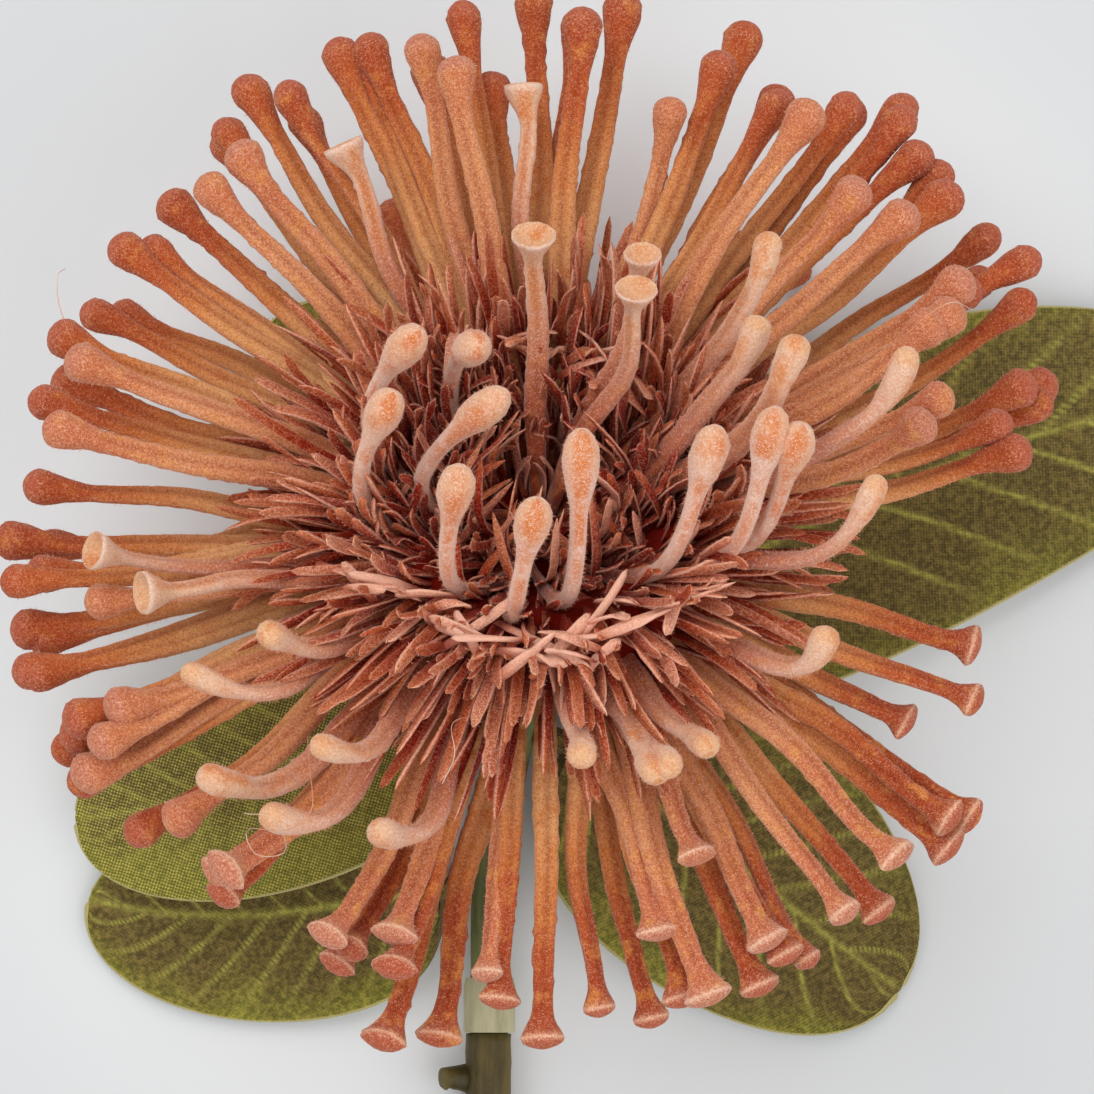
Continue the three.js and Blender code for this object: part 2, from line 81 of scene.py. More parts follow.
# Styles: azimuth in degrees round the bloom's axis, angle from that axis, reach from its centre, and how
# far the end bends outwards, or inwards where that is negative. Azimuth 90 is the side that lies lowest.
StyleRow = tuple[float, float, float, float]
OUTER_STYLES: tuple[StyleRow, ...] = (
    (-179, 93, 53.1, -14), (-176, 90, 55.3, -8), (-175, 98, 55.6, -6), (-171, 99, 54.1, -8),
    (-169, 97, 55.8, -8), (-165, 97, 54.8, -10), (-159, 93, 52.2, -8), (-159, 98, 53, -6),
    (-156, 101, 54.5, -6), (-151, 99, 54.3, -10), (-144, 104, 52.1, -14), (-128, 101, 49.9, -30),
    (-118, 109, 49.2, -20), (-116, 104, 47.6, -36), (-110, 109, 54.8, -26), (-108, 101, 48.6, -34),
    (-101, 113, 53, -12), (-96, 105, 49.5, 2), (-87, 106, 53.2, 2), (-80, 110, 49.8, 8),
    (-76, 116, 51.4, 0), (-73, 107, 50.9, 2), (-70, 113, 49.2, 16), (-63, 107, 52.5, 4),
    (-60, 104, 51.2, 4), (-54, 107, 52.3, 4), (-49, 105, 52.8, 4), (-38, 103, 53.6, 0), (-36, 99, 52.1, -4),
    (-31, 104, 53.7, -6), (-28, 98, 43.1, 0), (-24, 92, 48.8, 0), (-15, 94, 46.8, 4), (5, 81, 51.6, -16),
    (13, 79, 50.2, -22), (14, 81, 54, -24), (18, 85, 55.8, -20), (19, 89, 58.3, -26), (23, 80, 58, -34),
    (26, 78, 53.6, -10), (29, 83, 56.8, -10), (30, 80, 61.1, 0), (35, 84, 61.1, -14), (38, 74, 57.8, -4),
    (43, 77, 59.8, -6), (45, 75, 59.3, 0), (47, 75, 62.7, 0), (49, 74, 61.2, -8), (51, 74, 58.9, -10),
    (55, 72, 58.6, -10), (58, 72, 55.9, -10), (60, 66, 53.7, 6), (68, 66, 55.4, -4), (69, 71, 60.9, -4),
    (83, 70, 60.7, 4), (84, 62, 56.2, 0), (87, 70, 58.1, 4), (89, 69, 60.5, 0), (95, 72, 51.9, 4),
    (98, 68, 58.9, 0), (104, 72, 54.7, 6), (106, 71, 58.3, 6), (110, 72, 59.1, 4), (112, 73, 57, 8),
    (117, 80, 56.7, 6), (118, 70, 56, 0), (122, 74, 59.9, 4), (126, 76, 57.5, 4), (129, 83, 59.5, 8),
    (139, 80, 55.5, 4), (143, 80, 53.3, 0), (145, 91, 54.9, 4), (146, 79, 55.4, 0), (150, 88, 56.3, 0),
    (156, 89, 55, -4), (157, 82, 55.7, -4), (166, 83, 54.8, -4), (172, 100, 54.2, -8), (175, 89, 53.8, -12),
    (178, 93, 56.6, -14),
)
MIDDLE_STYLES: tuple[StyleRow, ...] = (
    (-167, 88, 46.9, -4), (-156, 91, 48, -12), (-155, 92, 50.9, -12), (-154, 97, 53.6, -12),
    (-144, 100, 48.3, -14), (-135, 100, 49, -20), (-130, 94, 49.1, -34), (-119, 100, 48.2, -26),
    (-108, 102, 45.3, -20), (-96, 104, 47.1, 0), (-76, 102, 44.6, 4), (-68, 104, 52, 8), (-67, 94, 40.1, 4),
    (-58, 102, 49.4, 4), (-51, 96, 52.3, 4), (-43, 92, 52, 4), (4, 65, 43.7, -24), (7, 67, 45.6, -22),
    (17, 64, 47.6, -16), (21, 66, 49.8, -16), (24, 69, 52.2, -16), (36, 66, 51.8, 4), (38, 62, 49.9, -8),
    (51, 62, 53.6, 4), (72, 62, 48.3, -30), (100, 56, 50.6, 4), (108, 62, 54.4, 2), (129, 67, 52, 4),
    (137, 68, 51.4, 0), (163, 74, 51.9, -4), (172, 77, 52, -6),
)
INNER_STYLES: tuple[StyleRow, ...] = (
    (-172, 80, 46.2, -26), (-162, 79, 42.3, -10), (-147, 76, 42.5, -46), (-139, 66, 37, -40),
    (-137, 88, 44.1, -44), (-131, 87, 43.3, -50), (-128, 77, 37.7, -50), (-112, 86, 39.5, -46),
    (-84, 75, 33.5, -10), (-73, 78, 35.8, -14), (-69, 77, 36.2, -16), (-63, 78, 35, -20),
    (-35, 69, 37.1, -60), (-16, 55, 42.1, -62), (7, 51, 47.1, -62), (10, 40, 40, -66), (18, 40, 36.4, -60),
    (39, 46, 41.1, -56), (43, 24, 33.5, -6), (53, 32, 34.3, -6), (89, 28, 34.6, -8), (94, 60, 47.6, 0),
    (122, 62, 46, -10),
)
# The lowest styles, which the bloom rests on.
RESTING_STYLES: tuple[StyleRow, ...] = (
    (58, 102, 55, 4), (64, 104, 56, 4), (87, 101, 52, 4), (93, 101, 54, 4), (105, 103, 55, 4),
    (110, 103, 57, 4),
)
CUP_ROWS = frozenset((0, 1, 18, 19, 20, 21, 22))  # which inner styles end in a small open cup
# Centre pins: azimuth and radius of the bow, then azimuth, radius and height of the tip.
PINS: tuple[tuple[float, float, float, float, float], ...] = (
    (-168, 17, -177, 14, 27), (165, 17, 152, 13, 28), (130, 13, 143, 7, 28), (-171, 12.5, -164, 3, 27),
    (-124, 15, -130, 11.5, 26), (-98, 15.8, -89, 12, 25), (-77, 14.8, -51, 7, 27.5),
    (-42, 15.6, -13, 18.2, 26), (-30, 20, -8, 23.7, 28), (-22, 21, -10, 26.4, 27),
)
# The neck's middle line below the cup, down to where the stem lies on the surface.
NECK_POINTS = ((-1.4, -14.4, 9.4), (-3.4, -23.0, 4.5), (-5.0, -33.0, 2.9), (-5.3, UPPER_STEM_END, 2.85))
CUT_NUBS = ((-1, -55.5), (1, -92.0), (-1, -128.0))  # side of the stem, place along Y
# Fibres that have come loose: azimuth, radius and height of points along each.
LOOSE_FIBRES: tuple[tuple[tuple[float, float, float], ...], ...] = (
    ((-128, 36.5, 8.4), (-124, 39.5, 9.2), (-121, 42.5, 7.0), (-123, 45.0, 5.4), (-127, 46.8, 5.0),
     (-124.5, 48.2, 4.2), (-121.5, 46.6, 4.8), (-125, 44.6, 5.6), (-129, 45.5, 4.6)),
    ((-104, 27.0, 8.0), (-106, 30.0, 10.5), (-104, 33.0, 10.0), (-105, 35.5, 8.4)),
    ((7, 36.4, 29.3), (9, 39.0, 30.6), (12, 42.0, 29.0), (13, 44.5, 26.0)),
    ((163, 49.6, 14.2), (160, 52.0, 16.6), (156, 54.0, 16.0), (153, 55.0, 13.4)),
)


def flower_shift() -> np.ndarray:
    """Returns the step in millimetres from the flower's own origin to the frame's, by the collar's box."""
    low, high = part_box("collar")
    middle = (low.x + high.x) / 2 / MM
    return np.array((middle - COLLAR_X, low.y / MM - COLLAR_END, 0.0))


FLOWER_SHIFT = flower_shift()


# ---- curves and draws ------------------------------------------------------------------------------
class Seed(IntEnum):
    """Where the draws for each kind of piece start. A whorl's or a coat's own number is added to some."""

    STYLE_LINES = 4217
    STYLE_SKIN = 11
    STYLE_LOOKS = 71
    COAT_SKIN = 17
    COAT_PLACES = 900
    RECEPTACLE = 5
    STRIP_SKIN = 31
    STRIP_COAT = 32
    STRIP_LOOKS = 303
    PINS = 41
    PIN_LOOKS = 404
    BRACT_SKIN = 51
    BRACT_LOOKS = 505
    STEM_SKIN = 61
    NUB_SKIN = 62
    LOOSE = 81
    TRIAL = 1


class Draws:
    """Park-Miller draws, the same as the solids' own."""

    def __init__(self, seed: int) -> None:
        """Starts the run of draws at seed."""
        self.state = seed

    def draw(self) -> float:
        """Returns the next number between 0 and 1."""
        self.state = self.state * 16807 % 2147483647
        return self.state / 2147483647

    def span(self, low: float, high: float) -> float:
        """Returns the next number between low and high."""
        return low + (high - low) * self.draw()


class Looks:
    """Seeded draws that vary one copy from the next."""

    def __init__(self, seed: int) -> None:
        """Starts the run of draws at seed."""
        self.source = np.random.default_rng(seed)

    def span(self, low: float, high: float) -> float:
        """Returns the next number between low and high."""
        return float(self.source.uniform(low, high))

    def share(self) -> float:
        """Returns the next number between 0 and 1."""
        return float(self.source.random())

    def side(self) -> int:
        """Returns 1 or -1."""
        return 1 if self.share() < 0.5 else -1


def toward(azimuth: float, angle: float) -> np.ndarray:
    """Returns a unit vector in the bloom's own frame, whose third axis is the bloom's axis.

    Args:
        azimuth: degrees round the axis.
        angle: degrees away from the axis.

    Returns:
        The direction as three numbers.
    """
    a, p = math.radians(azimuth), math.radians(angle)
    return np.array((math.sin(p) * math.cos(a), math.sin(p) * math.sin(a), math.cos(p)))


def placed(points: np.ndarray) -> np.ndarray:
    """Takes points from the bloom's frame to the lying flower's.

    Args:
        points: one point or rows of points, in millimetres.

    Returns:
        The same points over the surface that the flower lies on.
    """
    pitch = math.radians(BLOOM_PITCH)
    x, v, a = np.moveaxis(np.asarray(points, float), -1, 0)
    up = a * math.sin(pitch) - v * math.cos(pitch) + BLOOM_HEIGHT
    return np.stack((x, v * math.sin(pitch) + a * math.cos(pitch), up), axis=-1)


def unit(rows: np.ndarray) -> np.ndarray:
    """Returns the rows scaled to length one."""
    return rows / np.linalg.norm(rows, axis=-1, keepdims=True)


def ring_point(azimuth: float, radius: float, height: float) -> np.ndarray:
    """Returns a point of the bloom's frame, given round its axis."""
    a = math.radians(azimuth)
    return np.array((radius * math.cos(a), radius * math.sin(a), height))


def around(azimuth: float) -> np.ndarray:
    """Returns the direction round the bloom's axis at an azimuth, in the lying flower's frame."""
    return placed(toward(azimuth + 90, 90)) - placed(np.zeros(3))


@dataclass
class Line:
    """A smooth line in space: a Bezier curve by its control points."""

    points: np.ndarray

    def at(self, place: np.ndarray) -> np.ndarray:
        """Returns the points at places from 0 to 1."""
        t = np.clip(np.asarray(place, float), 0.0, 1.0)[..., None]
        rows = [np.broadcast_to(p, t.shape[:-1] + (3,)) for p in self.points]
        while len(rows) > 1:
            rows = [a * (1 - t) + b * t for a, b in zip(rows, rows[1:])]
        return rows[0]

    def tangent(self, place: np.ndarray) -> np.ndarray:
        """Returns the unit directions at places from 0 to 1."""
        t = np.clip(np.asarray(place, float), 0.0, 1.0)
        step = 1e-3
        return unit(self.at(np.minimum(t + step, 1.0)) - self.at(np.maximum(t - step, 0.0)))


@dataclass
class Track(Line):
    """A line through many points, walked at an even pace."""

    def __post_init__(self) -> None:
        """Fits a rounded spline through the points and measures it."""
        knots = np.asarray(self.points, float)
        ends = np.vstack((2 * knots[0] - knots[1], knots, 2 * knots[-1] - knots[-2]))
        fine = []
        for i in range(len(knots) - 1):
            p0, p1, p2, p3 = ends[i : i + 4]
            for t in np.linspace(0, 1, 24, endpoint=False):
                fine.append(
                    0.5 * (2 * p1 + (p2 - p0) * t + (2 * p0 - 5 * p1 + 4 * p2 - p3) * t**2
                           + (3 * p1 - p0 - 3 * p2 + p3) * t**3)
                )
        fine.append(knots[-1])
        self.fine = np.array(fine)
        steps = np.linalg.norm(np.diff(self.fine, axis=0), axis=1)
        self.length = float(steps.sum())
        self.pace = np.concatenate(((0.0,), np.cumsum(steps))) / self.length

    def at(self, place: np.ndarray) -> np.ndarray:
        """Returns the points at places from 0 to 1 of the length."""
        t = np.clip(np.asarray(place, float), 0.0, 1.0)
        return np.stack([np.interp(t, self.pace, self.fine[:, k]) for k in range(3)], axis=-1)


# ---- building meshes -------------------------------------------------------------------------------
def only(obj: bpy.types.Object) -> None:
    """Selects one object alone and makes it active."""
    bpy.ops.object.select_all(action="DESELECT")
    obj.select_set(True)
    bpy.context.view_layer.objects.active = obj


def read_points(mesh: bpy.types.Mesh) -> np.ndarray:
    """Returns a mesh's vertices as rows."""
    flat = np.empty(len(mesh.vertices) * 3)
    mesh.vertices.foreach_get("co", flat)
    return flat.reshape(-1, 3)


def write_points(mesh: bpy.types.Mesh, rows: np.ndarray) -> None:
    """Writes rows back to a mesh's vertices."""
    mesh.vertices.foreach_set("co", np.ascontiguousarray(rows, dtype=float).ravel())
    mesh.update()


def write_placed(mesh: bpy.types.Mesh, rows: np.ndarray) -> None:
    """Writes rows of the lying flower's frame, in millimetres, as a mesh's vertices."""
    write_points(mesh, (rows + FLOWER_SHIFT) * MM)


def press(rows: np.ndarray) -> np.ndarray:
    """Presses flat what reaches below the surface, and returns the rows."""
    rows[:, 2] = np.maximum(rows[:, 2], 0)
    return rows


def face_outward() -> None:
    """Turns every face of the mesh in edit mode outward and leaves edit mode."""
    bpy.ops.mesh.select_all(action="SELECT")
    bpy.ops.mesh.normals_make_consistent(inside=False)
    bpy.ops.object.mode_set(mode="OBJECT")


def extrude_rings(profile: Sequence[tuple[float, float]]) -> None:
    """Extrudes the selected ring up Z through the radius and place of every ring after the first."""
    radius, place = profile[0]
    for wide, high in profile[1:]:
        bpy.ops.mesh.extrude_region_move(TRANSFORM_OT_translate={"value": (0, 0, high - place)})
        ratio = wide / radius
        bpy.ops.transform.resize(value=(ratio, ratio, 1), center_override=(0, 0, high))
        radius, place = wide, high


def write_value(mesh: bpy.types.Mesh, name: str, values: np.ndarray | float) -> None:
    """Stores one number for each vertex under a name.

    Args:
        mesh: the mesh to mark.
        name: the attribute's name, which the finishes read.
        values: one number for all, or one for each vertex.
    """
    layer = mesh.attributes.get(name) or mesh.attributes.new(name, "FLOAT", "POINT")
    layer.data.foreach_set("value", np.broadcast_to(values, len(mesh.vertices)).astype(np.float32).copy())


SEAM_SINE = 0.1  # a vertex is on a moulding seam where its angle's sine is below this
CREASE_HALF = 0.3  # half the crease's width as an angle in radians
FADE = 0.06  # the share of a rod's length over which its section changes
HEAD_FROM = 0.88  # the place where a rod's head usually starts
OBLIQUE = np.array((0.31, 0.17, 0.93))  # a direction that no piece runs along


@dataclass
class RodForm:
    """A straight rod modelled once: unit length up Z, radii in millimetres.

    Attributes:
        profile: radius and place of each ring, from the root to the end.
        sides: how many sides the rod has.
        wide: scale of the shaft's section across, where its moulding seams run.
        thick: scale of the shaft's section through.
        groove: how deep the lengthwise crease of one flat side is.
        head_from: the place where the head starts and the shaft's section fades out.
    """

    profile: Sequence[tuple[float, float]]
    sides: int = 12
    wide: float = 1.0
    thick: float = 1.0
    groove: float = 0.0
    head_from: float = HEAD_FROM

    def build(self, name: str) -> bpy.types.Object:
        """Models the rod by extruding a disc ring by ring.

        Args:
            name: the name of the new object.

        Returns:
            The rod as an object of its own.
        """
        radius, place = self.profile[0]
        bpy.ops.object.select_all(action="DESELECT")
        bpy.ops.mesh.primitive_circle_add(
            vertices=self.sides, radius=radius, fill_type="NGON", location=(0, 0, place)
        )
        rod = bpy.context.object
        rod.name = name
        bpy.ops.object.transform_apply(location=True, rotation=True, scale=True)
        bpy.ops.object.mode_set(mode="EDIT")
        bpy.ops.mesh.select_all(action="SELECT")
        extrude_rings(self.profile)
        face_outward()
        self.mark(rod.data)
        bpy.ops.object.shade_smooth()
        return rod

    def mark(self, mesh: bpy.types.Mesh) -> None:
        """Shapes the shaft's section and stores the places of its seams, its rim and its end face."""
        rows = read_points(mesh)
        angle = np.arctan2(rows[:, 1], rows[:, 0])
        shaft = np.clip((self.head_from + 0.05 - rows[:, 2]) / FADE, 0, 1)
        rows[:, 0] *= 1 + (self.wide - 1) * shaft
        rows[:, 1] *= 1 + (self.thick - 1) * shaft
        crease = (np.abs(angle - math.pi / 2) < CREASE_HALF) * shaft
        rows[:, 1] -= self.groove * crease
        ring = np.arange(len(rows)) // self.sides
        radii = np.array([radius for radius, _ in self.profile])
        half = len(radii) // 2
        far = half + int(np.argmax(radii[half:]))
        write_value(mesh, "seam", (np.abs(np.sin(angle)) < SEAM_SINE) * shaft)
        write_value(mesh, "crease", crease)
        write_value(mesh, "edge", np.abs(np.cos(angle)))
        write_value(mesh, "rim", np.exp(-np.abs(ring - far) * 0.9))
        write_value(mesh, "face", np.clip(ring - far, 0, 1))
        write_points(mesh, rows)


@dataclass
class Bend:
    """How one copy of a form follows its own line.

    Attributes:
        line: the line in the lying flower's frame, in millimetres.
        turn: radians that the section is turned about the line.
        girth: scale of the section.
        oval: scale of the section across and through at the far end.
        lens: how sharply the far end is pinched to two corners.
        twist: radians of twist from root to end.
        rough: the seeded unevenness of the surface.
        ragged: how far the teeth of the moulding seams stand out, in millimetres.
        skew: how far the end leans off the line, in millimetres.
        across: the direction that the section's width is laid along, where one is given.
        bow: how far the line wanders across and through, in millimetres.
    """

    line: Line
    turn: float = 0.0
    girth: float = 1.0
    oval: tuple[float, float] = (1.0, 1.0)
    lens: float = 0.0
    twist: float = 0.0
    rough: float = 0.0
    ragged: float = 0.0
    skew: float = 0.0
    across: np.ndarray | None = None
    bow: tuple[float, float] = (0.0, 0.0)

    def apply(self, rows: np.ndarray, noise: np.random.Generator) -> np.ndarray:
        """Bends the rows of a straight form.

        Args:
            rows: vertices with x and y in millimetres and z the place along.
            noise: the seeded source of unevenness.

        Returns:
            The bent vertices in millimetres.
        """
        place = np.clip(rows[:, 2], 0, 1)
        tangent = self.line.tangent(place)
        start = self.line.tangent(np.zeros(1))[0]
        guide = np.cross(start, OBLIQUE) if self.across is None else self.across
        side = unit(guide - tangent * (tangent @ guide)[:, None])
        normal = np.cross(tangent, side)
        angle = np.arctan2(rows[:, 1], rows[:, 0])
        reach = np.hypot(rows[:, 0], rows[:, 1]) * self.girth
        if self.rough:
            reach = reach * (1 + noise.normal(0, self.rough, len(reach)))
        if self.ragged:
            seam = (np.abs(np.sin(angle)) < SEAM_SINE) & (place > 0.12) & (place < 0.9)
            reach = reach + seam * self.ragged * np.maximum(noise.normal(-0.1, 1.0, len(reach)), -0.3)
        late = np.clip((place - HEAD_FROM) / FADE, 0, 1)
        wide = reach * np.cos(angle) * (1 + (self.oval[0] - 1) * late) + self.skew * late
        thick = reach * np.sin(angle) * (1 + (self.oval[1] - 1) * late)
        thick = thick * np.abs(np.sin(angle)) ** (self.lens * late)
        turn = self.turn + self.twist * place
        wide, thick = wide * np.cos(turn) - thick * np.sin(turn), wide * np.sin(turn) + thick * np.cos(turn)
        wide = wide + self.bow[0] * np.sin(math.pi * place) * np.sin(2.4 * math.pi * place)
        thick = thick + self.bow[1] * np.sin(math.pi * place) * np.cos(1.7 * math.pi * place)
        return self.line.at(place) + side * wide[:, None] + normal * thick[:, None]


def join(parts: Sequence[bpy.types.Object], name: str) -> bpy.types.Object:
    """Joins parts into one piece whose object sits at the origin.

    Args:
        parts: the objects to join.
        name: the name of the piece.

    Returns:
        The joined piece.
    """
    bpy.ops.object.select_all(action="DESELECT")
    for part in parts:
        part.select_set(True)
    bpy.context.view_layer.objects.active = parts[0]
    if len(parts) > 1:
        bpy.ops.object.join()
    piece = bpy.context.object
    piece.name = name
    piece.data.name = name
    return piece


def copy_of(form: bpy.types.Object) -> bpy.types.Object:
    """Returns a copy of a form, with its own mesh, in the scene."""
    part = form.copy()
    part.data = form.data.copy()
    bpy.context.scene.collection.objects.link(part)
    return part


class Copies:
    """Copies of one modelled form, each with its own mesh, bent and joined into one piece."""

    def __init__(self, form: bpy.types.Object, seed: int) -> None:
        """Keeps the form and starts its unevenness at seed."""
        self.form = form
        self.rows = read_points(form.data)
        self.noise = np.random.default_rng(seed)
        self.parts: list[bpy.types.Object] = []

    def add(self, bend: Bend, press_flat: bool = False, **values: float) -> bpy.types.Object:
        """Adds one bent copy.

        Args:
            bend: how the copy follows its line.
            press_flat: True if what reaches below the surface is pressed flat on it.
            **values: numbers stored on every vertex of the copy, by attribute name.

        Returns:
            The new copy.
        """
        part = copy_of(self.form)
        rows = bend.apply(self.rows, self.noise)
        write_placed(part.data, press(rows) if press_flat else rows)
        write_value(part.data, "along", self.rows[:, 2])
        for name, value in values.items():
            write_value(part.data, name, value)
        self.parts.append(part)
        return part

    def joined(self, name: str) -> bpy.types.Object:
        """Joins the copies into one piece and drops the form."""
        piece = join(self.parts, name)
        bpy.data.objects.remove(self.form)
        return piece


# ---- shader maths ----------------------------------------------------------------------------------
class Value:
    """A socket that carries a number or a colour, with Python's operators as Math nodes."""

    def __init__(self, kit: "NodeKit", socket: bpy.types.NodeSocket) -> None:
        """Keeps the material's node kit and the output socket."""
        self.kit = kit
        self.socket = socket

    def math(self, operation: str, *others: "Value | float") -> "Value":
        """Returns the result of a Math node of this operation."""
        return self.kit.node("ShaderNodeMath", {"operation": operation}, dict(enumerate((self, *others))))

    def __add__(self, other: "Value | float") -> "Value":
        """Adds."""
        return self.math("ADD", other)

    __radd__ = __add__

    def __mul__(self, other: "Value | float") -> "Value":
        """Multiplies."""
        return self.math("MULTIPLY", other)

    __rmul__ = __mul__

    def __sub__(self, other: "Value | float") -> "Value":
        """Subtracts."""
        return self.math("SUBTRACT", other)

    def __rsub__(self, other: float) -> "Value":
        """Subtracts this from a number."""
        return self.kit.node("ShaderNodeMath", {"operation": "SUBTRACT"}, {0: other, 1: self})

    def span(self, low: float, high: float, start: float = 0.0, end: float = 1.0) -> "Value":
        """Returns this value eased from low..high to start..end, and held past them."""
        settings = {"interpolation_type": "SMOOTHSTEP"}
        inputs = {"Value": self, "From Min": low, "From Max": high, "To Min": start, "To Max": end}
        return self.kit.node("ShaderNodeMapRange", settings, inputs)


Colour = tuple[float, float, float]


def srgb(red: int, green: int, blue: int) -> Colour:
    """Returns a colour given as it looks on screen, 0 to 255, in linear light."""
    def one(level: int) -> float:
        """Linear light of one channel."""
        share = level / 255
        return share / 12.92 if share <= 0.04045 else ((share + 0.055) / 1.055) ** 2.4
    return one(red), one(green), one(blue)


class NodeKit:
    """The nodes of one material."""

    def __init__(self, name: str) -> None:
        """Starts a material with a bare Principled shader."""
        self.material = bpy.data.materials.new(name)
        self.material.use_nodes = True
        self.tree = self.material.node_tree
        self.shader = next(n for n in self.tree.nodes if n.type == "BSDF_PRINCIPLED")

    def node(
        self,
        kind: str,
        settings: dict[str, Any] | None = None,
        inputs: dict[Any, Any] | None = None,
        output: str | int = 0,
    ) -> Value:
        """Adds one node.

        Args:
            kind: the node's type.
            settings: its settings, set first; stops holds a colour ramp's places and colours.
            inputs: values or links of its sockets, by name or number.
            output: the output socket that is returned, by name or number.

        Returns:
            The output as a value.
        """
        node = self.tree.nodes.new(kind)
        for key, value in (settings or {}).items():
            if key == "stops":
                self.set_stops(node, value)
            else:
                setattr(node, key, value)
        for key, value in (inputs or {}).items():
            self.feed(node.inputs[key], value)
        return Value(self, node.outputs[output])

    @staticmethod
    def set_stops(node: bpy.types.Node, stops: Sequence[tuple[float, Colour]]) -> None:
        """Sets a colour ramp's stops."""
        elements = node.color_ramp.elements
        while len(elements) < len(stops):
            elements.new(0.5)
        for element, (place, colour) in zip(elements, stops):
            element.position = place
            element.color = (*colour, 1)

    def feed(self, socket: bpy.types.NodeSocket, value: Any) -> None:
        """Links a value to a socket, or sets the socket to a constant."""
        if isinstance(value, Value):
            self.tree.links.new(value.socket, socket)
        elif isinstance(value, tuple) and len(value) == 3 and socket.type == "RGBA":
            socket.default_value = (*value, 1)
        else:
            socket.default_value = value

    def attribute(self, name: str) -> Value:
        """Returns a stored number of the mesh."""
        return self.node("ShaderNodeAttribute", {"attribute_name": name}, output="Fac")

    def place(self, scale: Colour = (1, 1, 1), turn: float = 0.0) -> Value:
        """Returns the object's own coordinates, scaled and turned about Z."""
        here = self.node("ShaderNodeTexCoord", output="Object")
        return self.node(
            "ShaderNodeMapping", None, {"Vector": here, "Scale": scale, "Rotation": (0, 0, turn)}
        )

    def noise(
        self, scale: float, detail: float = 2.0, rough: float = 0.6, where: Value | None = None
    ) -> Value:
        """Returns a noise of the given scale, per metre."""
        inputs = {"Scale": scale, "Detail": detail, "Roughness": rough, "Vector": where or self.place()}
        return self.node("ShaderNodeTexNoise", {"noise_dimensions": "3D"}, inputs, "Fac")

    def ramp(self, value: Value, stops: Sequence[tuple[float, Colour]]) -> Value:
        """Returns the colour of a ramp at a value."""
        return self.node("ShaderNodeValToRGB", {"stops": stops}, {"Fac": value}, "Color")

    def mix(self, share: Value | float, first: Any, second: Any) -> Value:
        """Returns the mix of two colours, by the sockets that a colour mix uses."""
        settings = {"data_type": "RGBA", "blend_type": "MIX"}
        return self.node("ShaderNodeMix", settings, {0: share, 6: first, 7: second}, 2)

    def bump(self, height: Value, strength: float, distance: float) -> Value:
        """Returns a normal raised by a height in metres."""
        inputs = {"Height": height, "Strength": strength, "Distance": distance}
        return self.node("ShaderNodeBump", None, inputs, "Normal")

    def dress(
        self, colour: Value, roughness: Value | float, normal: Value, **constants: float | Colour
    ) -> bpy.types.Material:
        """Feeds the shader and returns the material.

        Args:
            colour: the base colour.
            roughness: the roughness.
            normal: the bumped normal.
            **constants: plain values for sockets, named with underscores for spaces.

        Returns:
            The finished material.
        """
        values = {"base_color": colour, "roughness": roughness, "normal": normal, **constants}
        for name, value in values.items():
            socket = name.replace("_", " ").title().replace("Ior", "IOR")
            self.feed(self.shader.inputs[socket], value)
        return self.material


